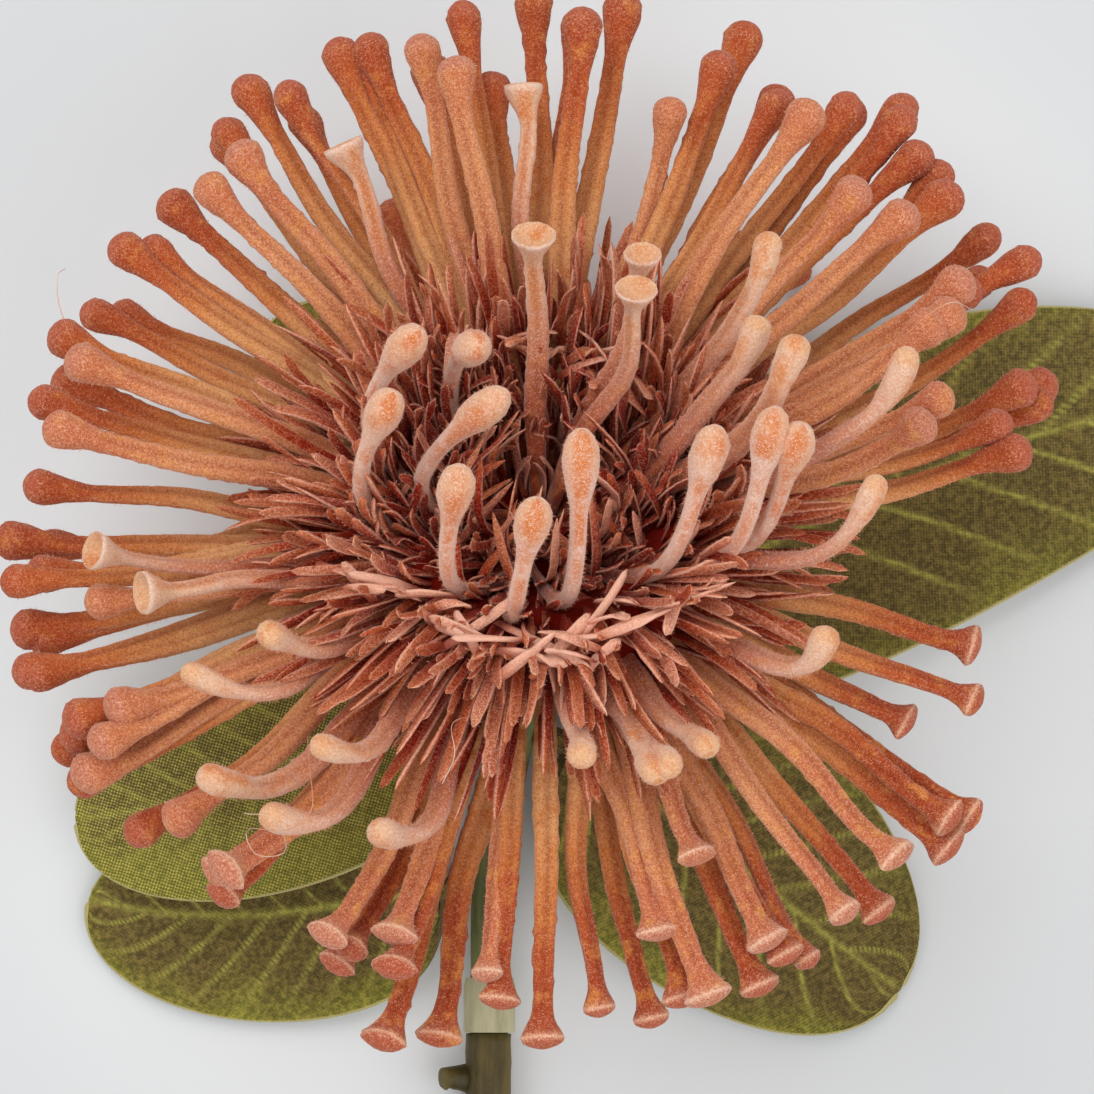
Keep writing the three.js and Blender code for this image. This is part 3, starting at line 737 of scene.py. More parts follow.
# ---- finishes --------------------------------------------------------------------------------------
@dataclass(frozen=True)
class Flock:
    """Velvety flock on a moulded rod: a run of colours root to end, pale fibre ends in part painted
    highlight.

    Attributes:
        name: the material's name.
        run: places along the rod and their colours.
        face: colour of the fibres on the end face.
        fibre_highlight: colour of the fibre ends that catch the light: pale fibres and painted highlight in
            part.
        fibre_highlight_share: how much of the surface that speckle covers, 0 to 1.
        shade: painted shade: the colour down between the fibres and in the crease.
        shading: how far that colour shows, 0 to 1.
        warm: colour of the moulding where the flock is thin.
        vary: how far one rod differs from the next.
        edge_highlight: how pale the flat edges are, as on the strips: painted highlight on their fuzz.
        rim: how pale the end face's rim is: pale fibre ends and painted highlight where the fuzz catches
            light.
        blush: how far the moulding shows through on the flat sides of the club.
        sheen: how strongly the fibres catch light that grazes them.
        tint: the colour of that light.
    """

    name: str
    run: tuple[tuple[float, Colour], ...]
    face: Colour
    fibre_highlight: Colour
    fibre_highlight_share: float = 0.4
    shade: Colour = srgb(110, 38, 20)
    shading: float = 0.35
    warm: Colour = srgb(214, 128, 62)
    vary: float = 0.16
    edge_highlight: float = 0.0
    rim: float = 0.45
    blush: float = 0.0
    sheen: float = 0.7
    tint: Colour = (1.0, 0.84, 0.76)

    def build(self) -> bpy.types.Material:
        """Returns the material."""
        kit = NodeKit(self.name)
        along = kit.attribute("along")
        tone = kit.attribute("tone")
        blotch = kit.noise(260, 3)
        base = kit.ramp(along + (blotch - 0.5) * 0.2 + (tone - 0.5) * self.vary, self.run)
        thin = kit.noise(470, 3, 0.6).span(0.5, 0.68) * (0.25 + 0.5 * tone)
        base = kit.mix(thin, base, self.warm)
        edge = kit.attribute("edge")
        base = kit.mix(kit.attribute("face") * kit.attribute("pale"), base, self.face)
        if self.blush:
            bare = edge.span(0.85, 0.3) * along.span(0.4, 0.75) * blotch.span(0.35, 0.6)
            base = kit.mix(bare * self.blush, base, self.warm)
        # painted shade: the crease down one flat side is darkened with the shade colour
        base = kit.mix(kit.attribute("crease") * 0.45, base, self.shade)
        fibre = kit.noise(8400, 2, 0.7)
        clump = kit.noise(3600, 2, 0.6)
        grain = fibre * 0.6 + clump * 0.4
        # painted shade: the shade colour shows down between the fibres
        base = kit.mix(grain.span(0.52, 0.38, 0.0, self.shading), base, self.shade)
        # painted highlight: the end face's rim and the flat edges are paled where their fuzz catches the
        # light
        rim = kit.attribute("rim") * kit.attribute("sharp") * self.rim
        fuzz = rim + kit.attribute("seam") * 0.22 + kit.attribute("frost")
        if self.edge_highlight:
            fuzz = fuzz + edge.span(0.66, 1.0) * self.edge_highlight
        # painted highlight: lit fibre ends speckle the surface, held back near the root, deep in the bloom's
        # shade
        bright = (grain.span(0.49, 0.61) * self.fibre_highlight_share + fuzz * (0.35 + grain)).span(0.0, 1.0)
        base = kit.mix(bright * along.span(0.02, 0.4, 0.2, 1.0), base, self.fibre_highlight)
        normal = kit.bump(grain, 0.7, 0.0003)
        return kit.dress(
            base, 0.9, normal, sheen_weight=self.sheen, sheen_roughness=0.35, sheen_tint=self.tint,
            specular_ior_level=0.1,
        )


@dataclass(frozen=True)
class LeafCloth:
    """Woven cloth printed as a leaf: brown-olive, yellow-green margins and thin pale veins.

    Attributes:
        name: the material's name.
        turn: the threads' direction in radians.
        light: how far the leaf leans to its yellow-green, 0 to 1.
        weave: how far the threads stand out in colour, 0 to 1.
    """

    name: str
    turn: float
    light: float
    weave: float

    def build(self) -> bpy.types.Material:
        """Returns the material."""
        kit = NodeKit(self.name)
        margin = kit.attribute("margin")
        vein = kit.attribute("vein")
        mottle = kit.noise(85, 4, 0.6)
        fleck = kit.noise(1500, 3, 0.75)
        dark = kit.mix(fleck.span(0.35, 0.7), srgb(80, 66, 31), srgb(128, 108, 54))
        leafy = kit.mix(fleck.span(0.35, 0.7), srgb(108, 108, 36), srgb(166, 158, 62))
        green = (margin * 0.95 + (mottle - 0.5) * 1.3 + self.light).span(0.45, 1.15)
        base = kit.mix(green, dark, leafy)
        ragged = kit.noise(1300, 2, 0.7).span(0.36, 0.6)
        base = kit.mix(vein * (0.5 + 0.6 * ragged), base, srgb(190, 184, 84))
        threads = kit.place((1, 1, 1), self.turn)
        warp = self.thread(kit, threads, "X")
        weft = self.thread(kit, threads, "Y")
        checks = warp * weft + (1 - warp) * (1 - weft)
        shown = fleck.span(0.3, 0.66, 0.35, 1.0) * self.weave
        base = kit.mix(checks.span(0.6, 0.34) * shown * 0.9, base, srgb(84, 82, 30))
        base = kit.mix(checks.span(0.45, 0.75) * shown, base, srgb(196, 186, 92))
        base = kit.mix(margin.span(0.982, 0.998, 0.0, 0.7), base, srgb(196, 182, 122))
        normal = kit.bump(checks, 0.45, 0.0002)
        return kit.dress(
            base, 0.78, normal, sheen_weight=0.1, sheen_roughness=0.5, specular_ior_level=0.22
        )

    @staticmethod
    def thread(kit: NodeKit, where: Value, axis: str) -> Value:
        """Returns the rounded height of the threads that run one way."""
        settings = {"wave_type": "BANDS", "bands_direction": axis, "wave_profile": "SIN"}
        inputs = {"Vector": where, "Scale": 680.0, "Distortion": 1.8, "Detail": 2.0, "Detail Scale": 1.5}
        return kit.node("ShaderNodeTexWave", settings, inputs, "Fac")


@dataclass(frozen=True)
class Bark:
    """Moulded stem skin: two colours in long flecks over fine ridges.

    Attributes:
        name: the material's name.
        low: colour down in the grain.
        high: colour on top of it.
        rough: the roughness halfway between them.
        ridge: how strongly the grain is raised.
    """

    name: str
    low: Colour
    high: Colour
    rough: float = 0.6
    ridge: float = 0.5

    def build(self) -> bpy.types.Material:
        """Returns the material."""
        kit = NodeKit(self.name)
        grain = kit.noise(420, 4, 0.65, kit.place((1, 0.16, 1)))
        fleck = kit.noise(1500, 2, 0.6)
        base = kit.mix(grain.span(0.36, 0.66), self.low, self.high)
        base = kit.mix(fleck.span(0.6, 0.75) * 0.3, base, self.high)
        normal = kit.bump(grain * 0.7 + fleck * 0.3, self.ridge, 0.0004)
        return kit.dress(base, self.rough + 0.2 * (grain - 0.5), normal, specular_ior_level=0.35)


@dataclass(frozen=True)
class Paper:
    """The floor: smooth pale paper, with a painted pool of light that darkens it away from the flower.

    Attributes:
        name: the material's name.
        colour: its colour under the flower.
    """

    name: str
    colour: Colour

    def build(self) -> bpy.types.Material:
        """Returns the material."""
        kit = NodeKit(self.name)
        middle = tuple(float(v) * MM for v in FLOWER_SHIFT)
        ends = {0: kit.place(), 1: middle}
        away = kit.node("ShaderNodeVectorMath", {"operation": "DISTANCE"}, ends, "Value")
        # painted light: away from the flower the colour falls to 0.7 of itself, a painted pool of light round
        # the flower
        far = away.span(0.03, 0.09) * 0.9 + kit.noise(2.0, 1) * 0.1
        base = kit.mix(far, self.colour, tuple(c * 0.7 for c in self.colour))
        return kit.dress(base, 0.9, kit.bump(kit.noise(900, 1), 0.02, 0.0001), specular_ior_level=0.1)


# In the flocks below, the pale fibre ends, rims and edges are in part painted highlight, and the colour down
# between the fibres is painted shade.
TERRACOTTA = Flock(
    "flock_terracotta",
    ((0.0, srgb(170, 66, 28)), (0.26, srgb(234, 178, 120)), (0.5, srgb(232, 167, 107)),
     (0.72, srgb(214, 131, 72)), (0.86, srgb(190, 90, 45)), (1.0, srgb(174, 75, 40))),
    face=srgb(184, 92, 64), fibre_highlight=srgb(246, 194, 162), fibre_highlight_share=0.36, shade=srgb(130, 38, 12), shading=0.5,
    rim=0.75, sheen=0.26, tint=(1.0, 0.8, 0.68),
)
ROSE = Flock(
    "flock_rose",
    ((0.0, srgb(150, 48, 20)), (0.32, srgb(216, 136, 89)), (0.7, srgb(224, 149, 100)),
     (0.88, srgb(210, 124, 80)), (1.0, srgb(206, 118, 79))),
    face=srgb(204, 126, 96), fibre_highlight=srgb(246, 202, 174), fibre_highlight_share=0.46, shade=srgb(144, 50, 22), shading=0.5,
    warm=srgb(228, 152, 82), rim=0.75, sheen=0.34, tint=(1.0, 0.82, 0.7),
)
BLUSH = Flock(
    "flock_blush",
    ((0.0, srgb(136, 34, 12)), (0.35, srgb(188, 92, 58)), (0.62, srgb(218, 148, 116)),
     (0.78, srgb(232, 182, 154)), (0.88, srgb(236, 190, 158)), (1.0, srgb(236, 188, 150))),
    face=srgb(236, 180, 134), fibre_highlight=srgb(246, 216, 198), fibre_highlight_share=0.5, shade=srgb(176, 92, 56), shading=0.36,
    warm=srgb(222, 134, 68), blush=0.85, rim=0.7, sheen=0.5,
)
PIN_PALE = Flock(
    "flock_pale_pin",
    ((0.0, srgb(120, 22, 8)), (0.2, srgb(150, 48, 24)), (0.31, srgb(196, 110, 80)),
     (0.42, srgb(236, 192, 170)), (0.78, srgb(238, 196, 174)), (0.9, srgb(232, 170, 128)),
     (1.0, srgb(234, 180, 142))),
    face=srgb(234, 180, 140), fibre_highlight=srgb(250, 230, 220), fibre_highlight_share=0.6, shade=srgb(200, 118, 86), shading=0.3,
    warm=srgb(220, 122, 56), rim=0.1, blush=0.95, sheen=0.7, tint=(1.0, 0.88, 0.84),
)
STRIP_FLOCK = Flock(
    "flock_strip",
    ((0.0, srgb(152, 20, 3)), (0.3, srgb(176, 44, 12)), (0.65, srgb(208, 92, 46)), (1.0, srgb(224, 126, 78))),
    face=srgb(226, 136, 94), fibre_highlight=srgb(248, 192, 166), fibre_highlight_share=0.38, shade=srgb(98, 12, 3), shading=0.7,
    vary=0.9, edge_highlight=0.75, rim=0.0, warm=srgb(224, 128, 66), sheen=0.05, tint=(1.0, 0.7, 0.58),
)
CRATER = Flock(
    "flock_crater",
    ((0.0, srgb(106, 11, 2)), (1.0, srgb(124, 18, 4))),
    face=srgb(110, 16, 4), fibre_highlight=srgb(140, 34, 14), fibre_highlight_share=0.25, shade=srgb(54, 4, 1), warm=srgb(120, 20, 5),
    rim=0.0, sheen=0.03, tint=(1.0, 0.6, 0.5),
)
FIBRES = Flock(
    "flock_fibres",
    ((0.0, srgb(214, 122, 84)), (0.5, srgb(240, 172, 134)), (1.0, srgb(242, 180, 150))),
    face=srgb(244, 206, 182), fibre_highlight=srgb(250, 226, 208), fibre_highlight_share=0.5, shading=0.05, warm=srgb(238, 174, 130),
    rim=0.0, sheen=0.3,
)
BRACTS = Bark("bract_skin", srgb(92, 60, 34), srgb(146, 106, 66), 0.8, 0.6)
# painted shade: the upper stem's green is darkened for the shadow that the bloom casts on it
GREEN_STEM_AND_SHADE = Bark("green_stem_skin", srgb(76, 80, 42), srgb(116, 118, 70), 0.6)
COLLAR_SKIN = Bark("collar_skin", srgb(156, 150, 114), srgb(186, 180, 146), 0.65, 0.3)
BROWN_STEM = Bark("brown_stem_skin", srgb(62, 52, 20), srgb(98, 84, 38), 0.55)
FLOOR_PAPER = Paper("floor_paper", srgb(240, 242, 243))


def ride(piece: bpy.types.Object, finish: Any, slot: str, *nodes: str) -> None:
    """Dresses a piece, attaches it to the root body, and lets it stand for solids.

    Args:
        piece: the finished piece.
        finish: a finish with a build method.
        slot: the record's material slot; not used.
        *nodes: the solids that the piece stands for.
    """
    piece.data.materials.clear()
    piece.data.materials.append(finish.build())
    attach(piece, "root")
    if nodes:
        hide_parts(*nodes)
    LOG.info("%s: %d faces", piece.name, len(piece.data.polygons))


# ---- the bloom -------------------------------------------------------------------------------------
SHAFT_RINGS = 46  # rings of a style's shaft above the receptacle


class Head(Enum):
    """How a style ends: radius, as a share of the foot's, and place of each ring past the shaft."""

    SPADE = (
        (0.5, 0.912), (0.57, 0.928), (0.69, 0.943), (0.83, 0.956), (0.95, 0.967), (1.0, 0.974),
        (0.97, 0.981), (0.86, 0.987), (0.64, 0.993), (0.36, 0.9975), (0.1, 1.0),
    )
    BULB = (
        (0.54, 0.85), (0.6, 0.87), (0.69, 0.892), (0.8, 0.912), (0.9, 0.93), (0.97, 0.946), (1.0, 0.96),
        (0.97, 0.97), (0.87, 0.98), (0.71, 0.988), (0.46, 0.9955), (0.14, 1.0),
    )
    CLUB = (
        (0.58, 0.8), (0.62, 0.832), (0.69, 0.862), (0.76, 0.889), (0.81, 0.914), (0.835, 0.938),
        (0.82, 0.958), (0.75, 0.975), (0.6, 0.988), (0.37, 0.996), (0.13, 1.0),
    )
    CUP = (
        (0.66, 0.9), (0.82, 0.922), (1.04, 0.943), (1.24, 0.96), (1.4, 0.975), (1.48, 0.987),
        (1.43, 0.995), (1.3, 0.992), (1.06, 0.976), (0.72, 0.962), (0.3, 0.955),
    )


@dataclass
class StyleSize:
    """The sizes that a whorl's styles share, in millimetres.

    Attributes:
        root: radius low on the shaft.
        waist: radius under the head.
        foot: radius that the head's rings are shares of.
        depth: how far from the bloom's centre its line starts.
        out: share of its reach that it runs straight as it leaves.
        back: share of its reach that its end runs straight.
    """

    root: float
    waist: float
    foot: float
    depth: float
    out: float
    back: float

    def profile(self, head: Head) -> list[tuple[float, float]]:
        """Returns the rings of a style: few inside the receptacle, then an even shaft, then its head.

        Args:
            head: how the style ends.

        Returns:
            Radius and place of each ring.
        """
        last = head.value[0][1] - 0.022
        places = np.concatenate(((0.0, 0.1), np.linspace(0.19, last, SHAFT_RINGS)))
        radii = np.interp(places, (0, 0.35, 0.86, 1.0), (0.72 * self.root, self.root, self.waist, self.waist))
        shaft = [(float(r), float(p)) for r, p in zip(radii, places)]
        return shaft + [(self.foot * share, place) for share, place in head.value]


class Whorl(Enum):
    """The whorls of styles, from the outside in."""

    OUTER = "outer_styles"
    RESTING = "resting_styles"
    MIDDLE = "middle_styles"
    INNER = "inner_styles"


@dataclass
class WhorlPlan:
    """Where a whorl's styles stand, how they bend, and how they are finished.

    Attributes:
        rows: one row for each style.
        size: their radii and bends.
        leave: degrees by which a style leaves the receptacle off its own angle.
        head: how they end.
        finish: their flock.
        slot: the record's material slot.
        pale_share: the share of styles whose end face is pale.
        fibres: how many long fibres stand off each.
        cups: which rows end in a small open cup.
        spades: the azimuths between which they end in a spade, whatever their head.
    """

    rows: tuple[StyleRow, ...]
    size: StyleSize
    leave: float
    head: Head
    finish: Flock
    slot: str
    pale_share: float
    fibres: int
    cups: frozenset[int] = frozenset()
    spades: tuple[float, float] = (-142.0, -2.0)

    def head_of(self, index: int) -> Head:
        """Returns how the style of a row ends."""
        if index in self.cups:
            return Head.CUP
        low, high = self.spades
        turned = self.head is Head.BULB and low < self.rows[index][0] < high
        return Head.SPADE if turned else self.head


STYLE = StyleSize(1.3, 0.96, 2.02, 12, 0.33, 0.28)
PALE_STYLE = StyleSize(1.2, 0.98, 1.78, 10, 0.46, 0.27)
TERRACOTTA_SLOT = "flocked_terracotta"
PALE_SLOT = "flocked_pale"
PLANS: dict[Whorl, WhorlPlan] = {
    Whorl.OUTER: WhorlPlan(OUTER_STYLES, STYLE, -6, Head.BULB, TERRACOTTA, TERRACOTTA_SLOT, 0.9, 590),
    Whorl.RESTING: WhorlPlan(RESTING_STYLES, STYLE, -8, Head.BULB, TERRACOTTA, TERRACOTTA_SLOT, 0.9, 590),
    Whorl.MIDDLE: WhorlPlan(MIDDLE_STYLES, STYLE, -2, Head.BULB, ROSE, TERRACOTTA_SLOT, 0.7, 760),
    Whorl.INNER: WhorlPlan(INNER_STYLES, PALE_STYLE, 0, Head.CLUB, BLUSH, PALE_SLOT, 0.9, 900, CUP_ROWS),
}


@dataclass
class StripZone:
    """Strips that grow in one zone of the receptacle.

    Attributes:
        count: how many there are.
        root: lowest and highest angle from the axis of their roots.
        reach: nearest and furthest that the roots lie from the bloom's centre.
        rise: lowest and highest angle that they head in.
        length: shortest and longest length.
        curl: how far their ends curl, in degrees, outwards where positive.
        girth: narrowest and widest scale.
        open_side: degrees that they lean further out at azimuth -90, or 0 where none stands there.
        sway: how far they lean sideways, in degrees.
        tone: darkest and lightest tone.
        frost: least and most that pale fibres cover them.
        spare: the share left out at azimuth -90.
    """

    count: int
    root: tuple[float, float]
    reach: tuple[float, float]
    rise: tuple[float, float]
    length: tuple[float, float]
    curl: tuple[float, float]
    girth: tuple[float, float] = (0.8, 1.2)
    open_side: float = 12.0
    sway: float = 22.0
    tone: tuple[float, float] = (0.2, 0.9)
    frost: tuple[float, float] = (0.0, 0.1)
    spare: float = 0.0


# From the outside in: the ruff round the crater, its wall, its lining, and more of the lining.
STRIP_ZONES = (
    StripZone(
        470, (66, 98), (16.8, 17.6), (56, 97), (8.0, 14.5), (-16, 18), open_side=10, sway=10, tone=(0.3, 1.0),
        frost=(-0.2, 0.2), spare=0.3,
    ),
    StripZone(
        380, (61.5, 74), (15.4, 16.6), (8, 50), (6.5, 13.0), (-42, 34), (0.8, 1.4), 38, 18, (0.3, 0.95),
        frost=(-0.15, 0.3), spare=0.1,
    ),
    StripZone(
        230, (63.5, 66), (8.5, 15.5), (-18, 26), (5.0, 10.0), (-32, 30), (0.75, 1.1), 0, tone=(-0.3, 0.4)
    ),
    StripZone(320, (63.5, 66), (5.5, 15.5), (5, 60), (3.5, 7.5), (-40, 40), (0.7, 1.1), 20, 30, (-0.3, 0.6)),
)

SUNK = 0.05  # how deep a fibre's root lies under the skin
LEAN = 0.25  # a fibre's lean at the tip, before its draw scales it
USUAL_LENGTH = 50.0  # length of a style, in millimetres


@dataclass
class Coat:
    """The flock's longest fibres on one style: fine spikes that stand off a straight rod.

    Attributes:
        count: how many fibres there are.
        profile: radius and place of the rod's rings.
        seed: the start of the fibres' draws.
        first: the place where the coat starts.
        length: shortest and longest fibre in millimetres.
        root: radius of a fibre's root in millimetres.
        edges: True if the fibres stand only along the two edges of a flat rod.
    """

    count: int
    profile: Sequence[tuple[float, float]]
    seed: int
    first: float = 0.3
    length: tuple[float, float] = (0.14, 0.4)
    root: float = 0.034
    edges: bool = False

    def copies(self) -> Copies:
        """Models one spike, sets copies of it over the rod, and returns the copies of that coat."""
        bpy.ops.object.select_all(action="DESELECT")
        bpy.ops.mesh.primitive_cone_add(
            vertices=3, radius1=self.root, radius2=0.0, depth=1.0, location=(0, 0, 0.5)
        )
        spike = bpy.context.object
        bpy.ops.object.transform_apply(location=True, rotation=True, scale=True)
        draws = np.random.default_rng(Seed.COAT_PLACES + self.seed)
        rows = read_points(spike.data)
        parts = []
        for _ in range(self.count):
            part = copy_of(spike)
            write_points(part.data, self.planted(rows, draws))
            parts.append(part)
        bpy.data.objects.remove(spike)
        return Copies(join(parts, "coat_form"), Seed.COAT_SKIN + self.seed)

    def planted(self, rows: np.ndarray, draws: np.random.Generator) -> np.ndarray:
        """Returns the rows of a spike stood on the rod's skin.

        Args:
            rows: the spike's vertices, one unit long up Z.
            draws: the seeded source of places and lengths.

        Returns:
            The vertices with x and y in millimetres and z the place along the rod.
        """
        place = draws.uniform(self.first, 0.985)
        angle = draws.uniform(0, 2 * math.pi)
        if self.edges:
            angle = draws.uniform(-0.3, 0.3) + math.pi * int(angle > math.pi)
        x = self.skin(place) - SUNK + rows[:, 2] * draws.uniform(*self.length)
        lean = draws.uniform(-0.6, 0.9, (2, 1)) * (rows[:, 2] > 0.5)
        y = rows[:, 0] + lean[0] * LEAN
        z = place + (rows[:, 1] + lean[1] * LEAN) / USUAL_LENGTH
        cos, sin = math.cos(angle), math.sin(angle)
        return np.stack((x * cos - y * sin, x * sin + y * cos, z), axis=1)

    def skin(self, place: float) -> float:
        """Returns the rod's radius at a place, its head included."""
        radii, places = zip(*self.profile)
        top = places.index(max(places)) + 1
        return float(np.interp(place, places[:top], radii[:top]))


NEAR_LYING = 26  # pale strips that lie along the crater's rim round azimuth -90
FAR_LYING = 16  # the same round azimuth 90
INNER_RODS = 84  # thin rods between the pins


class Styles:
    """The styles of one whorl, each bent along its own line."""

    def __init__(self, whorl: Whorl, draws: Draws) -> None:
        """Models the whorl's style once for each way that it ends, with a coat for each.

        Args:
            whorl: which whorl it is.
            draws: the draws that place the styles.
        """
        self.whorl = whorl
        self.plan = PLANS[whorl]
        self.draws = draws
        seed = list(Whorl).index(whorl)
        self.looks = Looks(Seed.STYLE_LOOKS + seed)
        heads = sorted({self.plan.head_of(i) for i in range(len(self.plan.rows))}, key=lambda head: head.name)
        self.copies = {head: self.style_copies(head, Seed.STYLE_SKIN + seed) for head in heads}
        profile = self.plan.size.profile
        self.coats = {head: Coat(self.plan.fibres, profile(head), seed).copies() for head in heads}

    def style_copies(self, head: Head, seed: int) -> Copies:
        """Models a style once and returns its copies, none yet."""
        form = RodForm(
            self.plan.size.profile(head), sides=12, wide=1.14, thick=0.86, groove=0.3,
            head_from=head.value[0][1] - 0.02,
        )
        return Copies(form.build("style_form"), seed)

    def build(self) -> None:
        """Builds the styles as one piece and their coats as another."""
        for i, row in enumerate(self.plan.rows):
            self.add(row, self.plan.head_of(i))
        name = self.whorl.value
        parts = [rods.joined(f"{name}_{head.name}") for head, rods in self.copies.items()]
        ride(join(parts, name), self.plan.finish, self.plan.slot, "bloom_styles")
        parts = [coat.joined(f"{name}_{head.name}_coat") for head, coat in self.coats.items()]
        ride(join(parts, name + "_fuzz"), FIBRES, self.plan.slot, "bloom_styles")

    def add(self, row: StyleRow, head: Head) -> None:
        """Adds one style and its coat.

        Args:
            row: where the style stands.
            head: how it ends.
        """
        looks = self.looks
        points = self.line(row)
        is_spade = head is Head.SPADE
        spade = looks.span(0.45, 1.0) if is_spade else 0.15
        bend = Bend(
            Line(points), looks.span(-0.4, 0.4), looks.span(0.88, 1.08) * (0.8 if head is Head.CUP else 1.0),
            oval=(1.0 + 0.22 * spade, 1.0 - 0.26 * spade), lens=0.6 * spade * is_spade, rough=0.02,
            ragged=0.08, skew=looks.span(-0.35, 0.35), twist=looks.span(-0.5, 0.5), across=around(row[0]),
            bow=(looks.span(-0.9, 0.9), looks.span(-0.8, 0.8)),
        )
        resting = self.whorl is Whorl.RESTING
        if resting:
            self.settle(bend, self.copies[head])
        else:
            self.shift_end(points, max(0.0, SURFACE_CLEAR - points[3, 2]))
        pale = 1.0 if head is Head.CUP or looks.share() < self.plan.pale_share else 0.2
        tone = looks.share() + is_spade
        # sharp scales the painted rim highlight: faint on round heads, full on spades and cups
        sharp = 0.2 if head in (Head.BULB, Head.CLUB) else 1.0
        self.copies[head].add(bend, press_flat=resting, tone=tone, pale=pale, sharp=sharp)
        self.coats[head].add(bend, press_flat=resting, tone=tone, pale=pale)

    def line(self, row: StyleRow) -> np.ndarray:
        """Draws one style's line, bent the other way from its end as it leaves the receptacle.

        Args:
            row: where the style stands.

        Returns:
            Four control points in the lying flower's frame.
        """
        azimuth, angle, reach, arrive = row
        size = self.plan.size
        start = angle + self.plan.leave - 0.4 * arrive + self.draws.span(-4, 4)
        sway = self.draws.span(-3, 3)
        self.draws.draw()  # the solids draw a turn here, and the finer styles have their own
        sunk = min(1.0, max(0.26, (angle - 28) / 52))
        root = toward(azimuth, min(angle, 90)) * size.depth * sunk
        tip = toward(azimuth + sway, angle) * reach
        late = tip - self.end_way(row) * reach * size.back
        return placed(np.array((root, root + toward(azimuth, start) * reach * size.out, late, tip)))

    def end_way(self, row: StyleRow) -> np.ndarray:
        """Finds the way a style's end points.

        Args:
            row: where the style stands.

        Returns:
            A unit vector: hooks turn up beside their own way, and cups near the axis open to the front.
        """
        azimuth, angle, _, arrive = row
        up, front = toward(90, 56), toward(-90, 34)
        if self.plan.head is Head.CLUB and arrive < -40:
            share = 0.9 if azimuth < -60 else 0.3
            return unit(toward(azimuth, 90) * share + up * 0.9 - front * 0.1)
        if self.plan.head is Head.CLUB and angle < 50:
            return unit(up * 0.75 + front * 0.66)
        return toward(azimuth, angle + arrive)

    @staticmethod
    def shift_end(points: np.ndarray, rise: float) -> None:
        """Lifts or lowers the far end of a style."""
        points[3, 2] += rise
        points[2, 2] += rise * 0.8

    def settle(self, bend: Bend, copies: Copies) -> None:
        """Bends a resting style until its foot meets the surface."""
        for _ in range(4):
            low = bend.apply(copies.rows, np.random.default_rng(Seed.TRIAL))[:, 2].min()
            self.shift_end(bend.line.points, -FLAT_SPOT - low)


